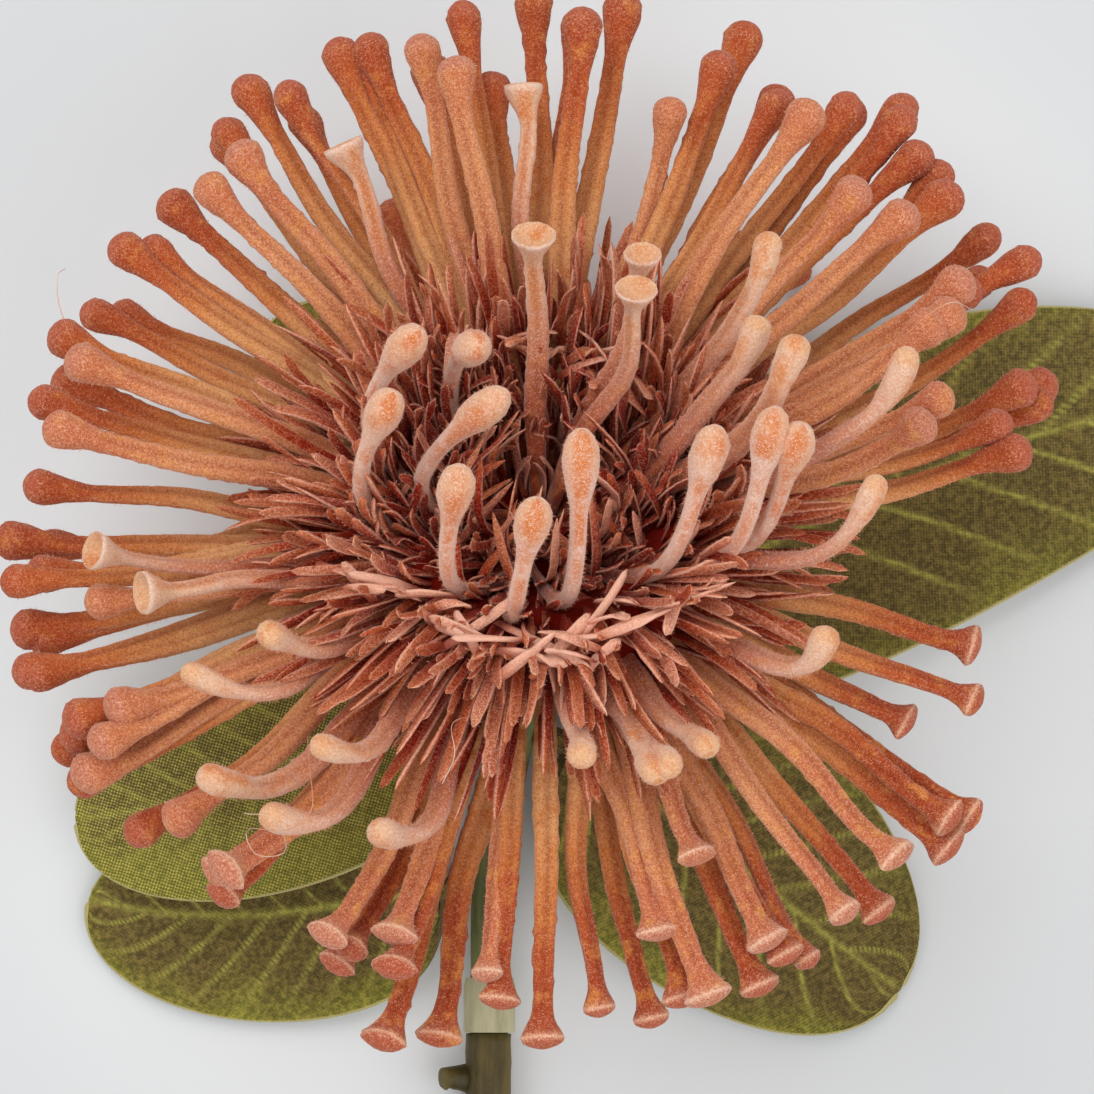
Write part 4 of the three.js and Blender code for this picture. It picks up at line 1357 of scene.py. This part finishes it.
class Strips:
    """The perianth strips: pointed ribbons that stand round the crater and curl over it."""

    def __init__(self) -> None:
        """Models the strip and its coat once and starts the draws of their looks."""
        profile = [(0.4, 0.0), (0.5, 0.17), (0.54, 0.38), (0.55, 0.6), (0.52, 0.8), (0.4, 0.93), (0.06, 1.0)]
        form = RodForm(profile, sides=6, thick=0.42, head_from=2.0).build("strip_form")
        self.copies = Copies(form, Seed.STRIP_SKIN)
        self.coat = Coat(30, profile, Seed.STRIP_COAT, 0.3, (0.08, 0.26), 0.03, True).copies()
        self.looks = Looks(Seed.STRIP_LOOKS)

    def build(self) -> None:
        """Builds the strips as one piece and their coats as another."""
        for zone in STRIP_ZONES:
            for i in range(zone.count):
                self.grow(zone, i)
        sides = [(-150, -48)] * NEAR_LYING + [(35, 130)] * FAR_LYING
        for azimuth in [self.looks.span(*side) for side in sides]:
            self.lay(azimuth)
        for i in range(INNER_RODS):
            self.stand(i * GOLDEN_ANGLE)
        ride(self.copies.joined("perianth_strips"), STRIP_FLOCK, TERRACOTTA_SLOT, "bloom_styles")
        ride(self.coat.joined("perianth_fuzz"), FIBRES, TERRACOTTA_SLOT, "bloom_styles")

    def grow(self, zone: StripZone, i: int) -> None:
        """Grows one strip of a zone, unless it is one of those left out.

        Args:
            zone: the zone.
            i: the strip's number in it.
        """
        span = self.looks.span
        azimuth = i * GOLDEN_ANGLE + span(-6, 6)
        share = (i + 0.5) / zone.count
        far = math.sin(math.radians(azimuth))
        near = max(0.0, -far)
        if (near > 0.3 and not zone.open_side) or self.looks.share() < zone.spare * near:
            return
        calm = 1 - 0.6 * near
        rise = span(*zone.rise) + zone.open_side * near
        length = span(*zone.length) * (1 + 0.3 * max(0.0, far))
        sway = span(-zone.sway, zone.sway) * calm
        curl = span(*zone.curl) * calm
        lean = zone.root[0] + (zone.root[1] - zone.root[0]) * share
        root = toward(azimuth, lean) * span(*zone.reach)
        middle = root + toward(azimuth + sway * 0.4, rise) * length * 0.55
        late = middle + toward(azimuth + sway * 1.6, rise + curl * 0.5) * length * 0.35
        tip = late + toward(azimuth + sway * 3.0, rise + curl * 1.7) * length * 0.3
        tone = (zone.tone[0] - 0.35 * share, zone.tone[1] - 0.35 * share)
        self.add((root, middle, late, tip), zone.girth, tone, zone.frost)

    def lay(self, azimuth: float) -> None:
        """Lays one pale strip along the crater's rim."""
        span = self.looks.span
        near = azimuth < 0
        radius = span(18.0, 22.5) if near else span(11.5, 15.0)
        height = span(10.8, 13.6) if near else span(13.5, 17.0)
        swing = span(5, 15) * self.looks.side()
        slant = span(-3.0, 3.5)
        points = (
            ring_point(azimuth - swing, radius - slant, height - 2.0),
            ring_point(azimuth - swing * 0.3, radius - slant * 0.3, height),
            ring_point(azimuth + swing * 0.4, radius + slant * 0.4, height + span(0, 1.6)),
            ring_point(azimuth + swing, radius + slant, height + span(-1.5, 2.5)),
        )
        girth, frost = ((0.9, 1.3), (0.4, 1.0)) if near else ((0.85, 1.15), (0.1, 0.5))
        self.add(points, girth, (0.7, 1.0), frost)

    def stand(self, azimuth: float) -> None:
        """Stands one thin rod between the pins inside the crater."""
        span = self.looks.span
        root = ring_point(azimuth, span(1.5, 11.5), 3.2)
        far = ring_point(azimuth + span(-40, 40), span(2.0, 13.0), span(8, 18))
        middle = (root + far) / 2 + ring_point(azimuth, span(1.0, 4.0), span(-1, 1))
        self.add((root, middle, middle, far), (0.75, 1.0), (-0.2, 0.75), (-0.2, 0.5))

    def add(
        self,
        points: Sequence[np.ndarray],
        girth: tuple[float, float],
        tone: tuple[float, float],
        frost: tuple[float, float],
    ) -> None:
        """Adds one strip and its coat along a line of the bloom's frame, its width laid round the axis.

        Args:
            points: the line's control points in the bloom's frame.
            girth: narrowest and widest scale.
            tone: darkest and lightest tone.
            frost: least and most that pale fibres cover it.
        """
        span = self.looks.span
        azimuth = math.degrees(math.atan2(points[0][1], points[0][0]))
        bend = Bend(
            Line(placed(np.array(points))), span(-0.9, 0.9), twist=span(-1.6, 1.6), girth=span(*girth),
            rough=0.09, across=around(azimuth),
        )
        frosted = max(0.0, span(*frost))
        shade = span(*tone)
        self.copies.add(bend, tone=shade, pale=shade, frost=frosted)
        self.coat.add(bend, tone=shade, pale=0.4 + 0.6 * frosted)


class Bloom:
    """The bloom: whorls of styles, the curled strips, the dark receptacle and the centre pins."""

    def build(self) -> None:
        """Builds every piece of the bloom in order."""
        draws = Draws(Seed.STYLE_LINES)
        for whorl in Whorl:
            Styles(whorl, draws).build()
        Strips().build()
        self.receptacle()
        self.pins()
        self.loose()

    @staticmethod
    def receptacle() -> None:
        """Builds the dark receptacle under the strips, hollowed to a bowl at the crater."""
        outside = [(6.0, -7.2), (8.6, -6.9), (12.5, -5.8), (15.6, -4.3), (17.8, -2.0), (18.6, 0.5)]
        rim = [(18.2, 3.2), (17.2, 5.8), (15.9, 7.4), (14.6, 7.8), (13.0, 6.8)]
        bowl = [(11.0, 4.8), (8.0, 3.4), (4.5, 3.0), (1.6, 3.0)]
        form = RodForm(outside + rim + bowl, sides=40).build("receptacle")
        rows = read_points(form.data)
        noise = np.random.default_rng(Seed.RECEPTACLE)
        write_placed(form.data, placed(rows * (1 + noise.normal(0, 0.008, (len(rows), 1)))))
        for name in ("along", "tone"):
            write_value(form.data, name, 0.5)
        ride(form, CRATER, TERRACOTTA_SLOT, "bloom_styles")

    @staticmethod
    def pins() -> None:
        """Builds the short pale pins of the centre, each bowed out and standing up to a round club."""
        foot = [(0.42, 0.0), (0.46, 0.07), (0.52, 0.14), (0.7, 0.2)]
        shaft = [(min(0.84, 0.76 + 0.02 * k), 0.25 + 0.035 * k) for k in range(15)]
        neck = [(0.88, 0.785), (0.97, 0.815), (1.18, 0.843), (1.52, 0.873)]
        club = [(1.8, 0.904), (1.86, 0.932), (1.7, 0.962), (1.24, 0.985), (0.6, 0.998), (0.2, 1.0)]
        rings = foot + shaft + neck + club
        copies = Copies(RodForm(rings, sides=14, head_from=0.7).build("pin_form"), Seed.PINS)
        coat = Coat(1100, rings, Seed.PINS, first=0.27).copies()
        looks = Looks(Seed.PIN_LOOKS)
        for bow_azimuth, bow_radius, tip_azimuth, tip_radius, tip_height in PINS:
            back = bow_azimuth + looks.span(90, 150) * looks.side()
            points = (
                ring_point(back, 3.0, 2.4), ring_point(bow_azimuth, bow_radius * 1.36, 5.0),
                ring_point(bow_azimuth, bow_radius * 1.14, tip_height * 0.6),
                ring_point(tip_azimuth, tip_radius, tip_height),
            )
            turn = looks.span(-0.3, 0.3)
            bend = Bend(Line(placed(np.array(points))), turn, rough=0.03, across=np.array((1.0, 0.0, 0.0)))
            tone = looks.share()
            copies.add(bend, tone=tone, pale=0.6)
            coat.add(bend, tone=tone, pale=1.0)
        ride(copies.joined("centre_pins_fine"), PIN_PALE, PALE_SLOT, "centre_pins")
        ride(coat.joined("centre_pins_fuzz"), FIBRES, PALE_SLOT, "centre_pins")

    @staticmethod
    def loose() -> None:
        """Builds the few long fibres that have come loose."""
        form = RodForm([(0.05, float(p)) for p in np.linspace(0, 1, 40)], sides=3).build("loose_form")
        copies = Copies(form, Seed.LOOSE)
        for way in LOOSE_FIBRES:
            track = Track(placed(np.array([ring_point(*point) for point in way])))
            copies.add(Bend(track), tone=0.5, pale=1.0)
        ride(copies.joined("loose_fibres"), FIBRES, PALE_SLOT, "bloom_styles")


# ---- stem ------------------------------------------------------------------------------------------
BRACT_ROWS = ((4.1, -12.9, 9), (5.6, -11.6, 12), (7.6, -9.9, 15))  # radius, height and count of each row
CUT_SLOPE = 62.0  # degrees from straight up at which a cut stub stands off the stem
CUT_REACH = 2.3  # half of a stub's length


def neck_track() -> Track:
    """Returns the middle line of the upper stem."""
    top = CUP_FOOT_AT - GAP
    straight = [placed(np.array((0.0, 0.0, top + step))) for step in (0.0, -1.5, -3.5)]
    return Track(np.array([*straight, *NECK_POINTS]))


class Stem:
    """The bract cup, the two lengths of stem and the collar where they meet."""

    def build(self) -> None:
        """Builds every piece of the stem."""
        self.cup()
        self.upper()
        self.collar()
        self.lower()

    def cup(self) -> None:
        """Builds the cup and its overlapping pointed bracts."""
        outside = [(3.4, CUP_FOOT_AT), (3.9, -12.8), (5.0, -11.7), (6.8, -10.2), (9.0, -8.3), (10.4, -6.7)]
        inside = [(8.2, -7.1), (4.2, -8.2)]
        cup = RodForm(outside + inside, sides=28).build("cup_body")
        write_placed(cup.data, placed(read_points(cup.data)))
        scale = [(0.9, 0.0), (1.5, 0.2), (1.75, 0.45), (1.5, 0.7), (0.9, 0.9), (0.15, 1.0)]
        form = RodForm(scale, sides=8).build("bract_form")
        write_points(form.data, read_points(form.data) * (1, 0.22, 1))
        copies = Copies(form, Seed.BRACT_SKIN)
        looks = Looks(Seed.BRACT_LOOKS)
        for row, (radius, height, count) in enumerate(BRACT_ROWS):
            for i in range(count):
                azimuth = 360 * (i + 0.5 * (row % 2)) / count + looks.span(-4, 4)
                out = ring_point(azimuth, radius, height)
                far = ring_point(azimuth, radius + 3.6, height + 2.6)
                middle = (out + far) / 2 + ring_point(azimuth, 0.9, -0.7)
                line = Line(placed(np.array((out, middle, far))))
                copies.add(Bend(line, self.flat_turn(line, azimuth)))
        piece = join([cup, copies.joined("bracts")], "bract_cup_fine")
        ride(piece, BRACTS, "bract", "bract_cup")

    @staticmethod
    def flat_turn(line: Line, azimuth: float) -> float:
        """Returns the turn that lays a bract's width round the cup."""
        start = line.tangent(np.zeros(1))[0]
        guide = unit(np.cross(start, OBLIQUE))
        way = around(azimuth)
        return math.atan2(float(way @ np.cross(start, guide)), float(way @ guide))

    @staticmethod
    def tube(
        name: str, track: Track, radius: float, rings: int, sides: int, rough: float
    ) -> bpy.types.Object:
        """Builds a stem length along a track.

        Args:
            name: the name of the new object.
            track: its middle line.
            radius: its radius in millimetres.
            rings: how many rings it has.
            sides: how many sides it has.
            rough: the unevenness of its skin.

        Returns:
            The tube.
        """
        profile = [(radius, float(place)) for place in np.linspace(0, 1, rings)]
        copies = Copies(RodForm(profile, sides=sides).build(name + "_form"), Seed.STEM_SKIN)
        copies.add(Bend(track, rough=rough), press_flat=True)
        return copies.joined(name)

    def upper(self) -> None:
        """Builds the green upper length with its bent neck."""
        piece = self.tube("upper_stem_fine", neck_track(), UPPER_STEM_RADIUS, 60, 20, 0.008)
        ride(piece, GREEN_STEM_AND_SHADE, "green_stem", "upper_stem")

    @staticmethod
    def collar() -> None:
        """Builds the pale sleeve over the joint: a wall spun up Z, closed on itself and laid along Y."""
        end = COLLAR_END - COLLAR_LAP
        low = ((COLLAR_INNER, end), (COLLAR_OUTER - 0.1, end), (COLLAR_OUTER, end + 0.3))
        high = ((COLLAR_OUTER, COLLAR_START - 0.9), (COLLAR_OUTER - 0.25, COLLAR_START))
        bpy.ops.object.select_all(action="DESELECT")
        bpy.ops.mesh.primitive_circle_add(vertices=28, radius=COLLAR_INNER, fill_type="NOTHING")
        sleeve = bpy.context.object
        bpy.ops.object.mode_set(mode="EDIT")
        bpy.ops.mesh.select_all(action="SELECT")
        extrude_rings((*low, *high, (COLLAR_INNER, COLLAR_START), low[0]))
        bpy.ops.mesh.select_all(action="SELECT")
        bpy.ops.mesh.remove_doubles(threshold=0.001)
        face_outward()
        rows = read_points(sleeve.data)
        turned = np.stack((rows[:, 0], rows[:, 2] + end, -rows[:, 1]), axis=-1)
        write_placed(sleeve.data, turned + (COLLAR_X, 0.0, COLLAR_OUTER))
        bpy.ops.object.shade_smooth_by_angle(angle=math.radians(40))
        sleeve.name = "collar_fine"
        ride(sleeve, COLLAR_SKIN, "pale_collar", "collar")

    def lower(self) -> None:
        """Builds the brown lower length with the stubs of cut side shoots."""
        radius = LOWER_STEM_RADIUS
        half_way = (LOWER_STEM_START + LOWER_STEM_END) / 2
        points = np.array((
            (-5.3, LOWER_STEM_START + GAP * 0.9, radius + 0.35),
            (-5.6, LOWER_STEM_START - 22, radius + 0.2),
            (-6.6, half_way, radius + 0.05),
            (-5.2, LOWER_STEM_END, radius),
        ))
        parts = [self.tube("lower_stem_tube", Track(points), radius, 110, 24, 0.02)]
        slope = math.radians(CUT_SLOPE)
        stub = [(1.7, 0.0), (1.5, 0.35), (1.25, 0.65), (1.15, 0.82), (1.25, 0.9), (1.1, 0.98), (0.6, 1.0)]
        for side, y in CUT_NUBS:
            reach = np.array((math.sin(slope) * side, 0.0, math.cos(slope))) * CUT_REACH
            middle = np.array((-5.7 + side * (radius + 0.2), y, radius + 0.5))
            nub = Copies(RodForm(stub, sides=16).build("nub_form"), Seed.NUB_SKIN)
            nub.add(Bend(Line(np.array((middle - reach, middle, middle + reach))), rough=0.05))
            parts.append(nub.joined("nub"))
        ride(join(parts, "lower_stem_fine"), BROWN_STEM, "brown_stem", "lower_stem")


# ---- leaves ----------------------------------------------------------------------------------------
STALK_THICK = 1.8  # thickness of a leaf's stalk
BLADE_THICK = 0.7  # thickness of its blade
STALK_SHARE = 0.1  # the share of a leaf's length that is stalk
LEAF_ROWS = 130  # faces along a leaf
LEAF_COLUMNS = 60  # faces across it


@dataclass
class Leaf:
    """One leaf: its stalk's place on the upper stem, its midrib, and its blade.

    Attributes:
        name: the solid that it stands for.
        at: the stalk's place along the upper stem, 0 to 1.
        heading: its heading in degrees.
        run: how far the stalk runs straight out.
        belly: a point that the midrib bends towards.
        tip: the midrib's end.
        half: half of the blade's width.
        lift: how far the margins are raised.
        phase: where the margin's waves start.
        light: how yellow-green it is.
        weave: how far its threads stand out in colour.
    """

    name: str
    at: float
    heading: float
    run: float
    belly: tuple[float, float, float]
    tip: tuple[float, float, float]
    half: float
    lift: float
    phase: float
    light: float
    weave: float

    def midrib(self) -> Line:
        """Returns the midrib from the neck to the tip."""
        track = neck_track()
        along = track.tangent(np.array((self.at,)))[0]
        a = math.radians(self.heading)
        out = np.array((math.cos(a), math.sin(a), 0.0))
        out = unit(out - along * (out @ along))
        start = track.at(np.array((self.at,)))[0] + out * (UPPER_STEM_RADIUS + GAP)
        return Line(np.array((start, start + out * self.run, self.belly, self.tip)))

    def build(self) -> None:
        """Builds the blade as a waved grid with veins, gives it a thickness and dresses it."""
        bpy.ops.object.select_all(action="DESELECT")
        bpy.ops.mesh.primitive_grid_add(x_subdivisions=LEAF_COLUMNS, y_subdivisions=LEAF_ROWS, size=2)
        blade = bpy.context.object
        grid = read_points(blade.data)
        rows, vein, margin, thick = self.surface(grid[:, 0], (grid[:, 1] + 1) / 2)
        write_placed(blade.data, rows)
        write_value(blade.data, "vein", vein)
        write_value(blade.data, "margin", margin)
        self.thicken(blade, thick)
        write_points(blade.data, press(read_points(blade.data)))
        bpy.ops.object.mode_set(mode="EDIT")
        face_outward()
        bpy.ops.object.shade_smooth_by_angle(angle=math.radians(50))
        blade.name = self.name + "_fine"
        cloth = LeafCloth(self.name + "_cloth", math.radians(-self.heading - 12), self.light, self.weave)
        ride(blade, cloth, "leaf_fabric", self.name)

    @staticmethod
    def thicken(blade: bpy.types.Object, thick: np.ndarray) -> None:
        """Gives the blade its thickness.

        Args:
            blade: the sheet.
            thick: the share of the stalk's thickness at each vertex.
        """
        group = blade.vertex_groups.new(name="thick")
        for i, share in enumerate(thick):
            group.add([i], float(share), "REPLACE")
        solid = blade.modifiers.new("thickness", "SOLIDIFY")
        solid.thickness = STALK_THICK * MM
        solid.offset = 0.0
        solid.vertex_group = "thick"
        solid.use_even_offset = False
        only(blade)
        bpy.ops.object.modifier_apply(modifier="thickness")

    def surface(self, across: np.ndarray, place: np.ndarray) -> tuple[np.ndarray, ...]:
        """Shapes the blade.

        Args:
            across: places across the blade, -1 to 1.
            place: places along it, 0 to 1.

        Returns:
            The points, the veins' mask, the nearness to the margin, and the share of full thickness.
        """
        line = self.midrib()
        tangent = line.tangent(place)
        side = unit(np.cross(tangent, np.array((0.0, 0.0, 1.0))))
        normal = np.cross(side, tangent)
        blade = np.clip((place - STALK_SHARE) / (1 - STALK_SHARE), 0, 1)
        arc = 1 - (2 * blade**0.86 - 1) ** 2
        width = np.maximum(self.half * np.maximum(arc, 0) ** 0.46, np.where(place < 0.5, 1.0, 0.9))
        wave = np.sin(place * 11 + self.phase + across) * 0.45
        raised = (self.lift + wave) * across**2 * np.minimum(1, width / self.half + 0.1)
        vein = self.veins(across, blade, width)
        raised = raised + vein * 0.16 * (blade > 0)
        rows = line.at(place) + side * (across * width)[:, None] + normal * raised[:, None]
        margin = np.abs(across) * np.minimum(1, blade * 8)
        margin = np.maximum(margin, np.clip((place - 0.94) / FADE, 0, 1))
        thick = np.interp(np.clip(blade * 6, 0, 1), (0, 1), (1.0, BLADE_THICK / STALK_THICK))
        return rows, vein, margin, thick

    @staticmethod
    def veins(across: np.ndarray, blade: np.ndarray, width: np.ndarray) -> np.ndarray:
        """Returns 1 on the midrib and the side veins, falling off beside them."""
        off = np.abs(across) * width
        middle = np.exp(-((off / 0.38) ** 2)) * (1 - 0.6 * blade)
        bow = blade * 9.5 - np.abs(across) ** 0.85 * 2.1 + np.where(across > 0, 0.4, 0.0)
        near = np.abs(bow - np.round(bow))
        side = np.exp(-((near / 0.045) ** 2)) * np.clip((1 - np.abs(across)) * 2.2, 0, 1)
        return np.clip(np.maximum(middle, side * 0.75), 0, 1) * (blade > 0.02) * (blade < 0.985)


LEAVES = (
    Leaf("leaf_right_upper", 0.142, 34, 15, (45, 17, 1), (77, 19, 1.6), 17, 1.6, 0.4, -0.12, 0.12),
    Leaf("leaf_right_lower", 0.34, -30, 11, (25, -36, 2.5), (39.5, -46, 1.2), 16, 1.4, 2.1, -0.15, 0.06),
    Leaf("leaf_left_front", 0.274, 196, 13, (-33, -27, 9.5), (-50, -27.5, 6.5), 13.5, 1.2, 4.0, 0.3, 0.85),
    Leaf("leaf_left_back", 0.7, 184, 9, (-33, -41, 0.8), (-49, -36, 1.2), 12, 1.0, 5.2, 0.0, 0.05),
    Leaf("leaf_left_upper", 0.076, 118, 8, (-19.5, 16, 1), (-28.5, 28.5, 1.2), 11.5, 1.2, 1.3, 0.35, 0.15),
)


# ---- studio ----------------------------------------------------------------------------------------
@dataclass
class Studio:
    """Pale floor, soft lights, and the camera that looks down into the bloom.

    Attributes:
        elevation: degrees that the camera stands above the horizon.
        distance: metres from the bloom's centre to the camera.
        frame_width: width in metres of what the camera takes in at the bloom's centre.
        aim: where the camera points, in millimetres right of and above the bloom's centre.
        sensor: width of the camera's sensor in millimetres.
    """

    elevation: float = 84.0
    distance: float = 0.45
    frame_width: float = 0.1128
    aim: tuple[float, float] = (1.0, -0.7)
    sensor: float = 36.0

    def build(self) -> None:
        """Builds the floor, the lights, the surroundings and the camera."""
        self.floor()
        self.lights()
        self.camera()

    def floor(self) -> None:
        """Lays the pale floor just under the flower."""
        bpy.ops.object.select_all(action="DESELECT")
        bpy.ops.mesh.primitive_plane_add(size=6.0, location=(0, 0, -0.2 * MM))
        floor = bpy.context.object
        floor.name = "floor"
        floor.data.materials.append(FLOOR_PAPER.build())

    @staticmethod
    def area(name: str, place: tuple[float, float, float], size: float, power: float) -> None:
        """Hangs one soft light that faces the flower."""
        data = bpy.data.lights.new(name, "AREA")
        data.shape = "DISK"
        data.size = size
        data.energy = power
        lamp = bpy.data.objects.new(name, data)
        bpy.context.scene.collection.objects.link(lamp)
        lamp.location = place
        aim = Vector((0, 0.05, 0.03)) - Vector(place)
        lamp.rotation_euler = aim.to_track_quat("-Z", "Y").to_euler()

    def lights(self) -> None:
        """Hangs the key, the fill and the surroundings."""
        self.area("key_light", (-0.45, 0.5, 1.0), 1.0, 6.6)
        self.area("fill_light", (0.65, -0.5, 0.85), 1.3, 5.6)
        world = bpy.data.worlds.new("soft_room")
        bpy.context.scene.world = world
        world.use_nodes = True
        shade = world.node_tree.nodes["Background"]
        shade.inputs["Color"].default_value = (0.98, 0.99, 1.0, 1.0)
        shade.inputs["Strength"].default_value = 0.68
        bpy.context.scene.view_settings.view_transform = "Standard"

    def camera(self) -> None:
        """Sets the camera over the bloom, on the stem's side of straight down."""
        e = math.radians(self.elevation)
        back = Vector((0, -math.cos(e), math.sin(e)))
        up = Vector((0, math.sin(e), math.cos(e)))
        centre = Vector(tuple((np.array((0, 0, BLOOM_HEIGHT)) + FLOWER_SHIFT) * MM))
        target = centre + Vector((1, 0, 0)) * self.aim[0] * MM + up * self.aim[1] * MM
        data = bpy.data.cameras.new("studio_camera")
        data.sensor_width = self.sensor
        data.lens = self.sensor * self.distance / self.frame_width
        data.dof.use_dof = False
        eye = bpy.data.objects.new("studio_camera", data)
        bpy.context.scene.collection.objects.link(eye)
        eye.location = target + back * self.distance
        eye.rotation_euler = (-back).to_track_quat("-Z", "Y").to_euler()
        bpy.context.scene.camera = eye


def main() -> None:
    """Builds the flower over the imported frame."""
    logging.basicConfig(level=logging.INFO, format="%(message)s")
    Bloom().build()
    Stem().build()
    for leaf in LEAVES:
        leaf.build()
    Studio().build()


if __name__ == "__main__":
    main()
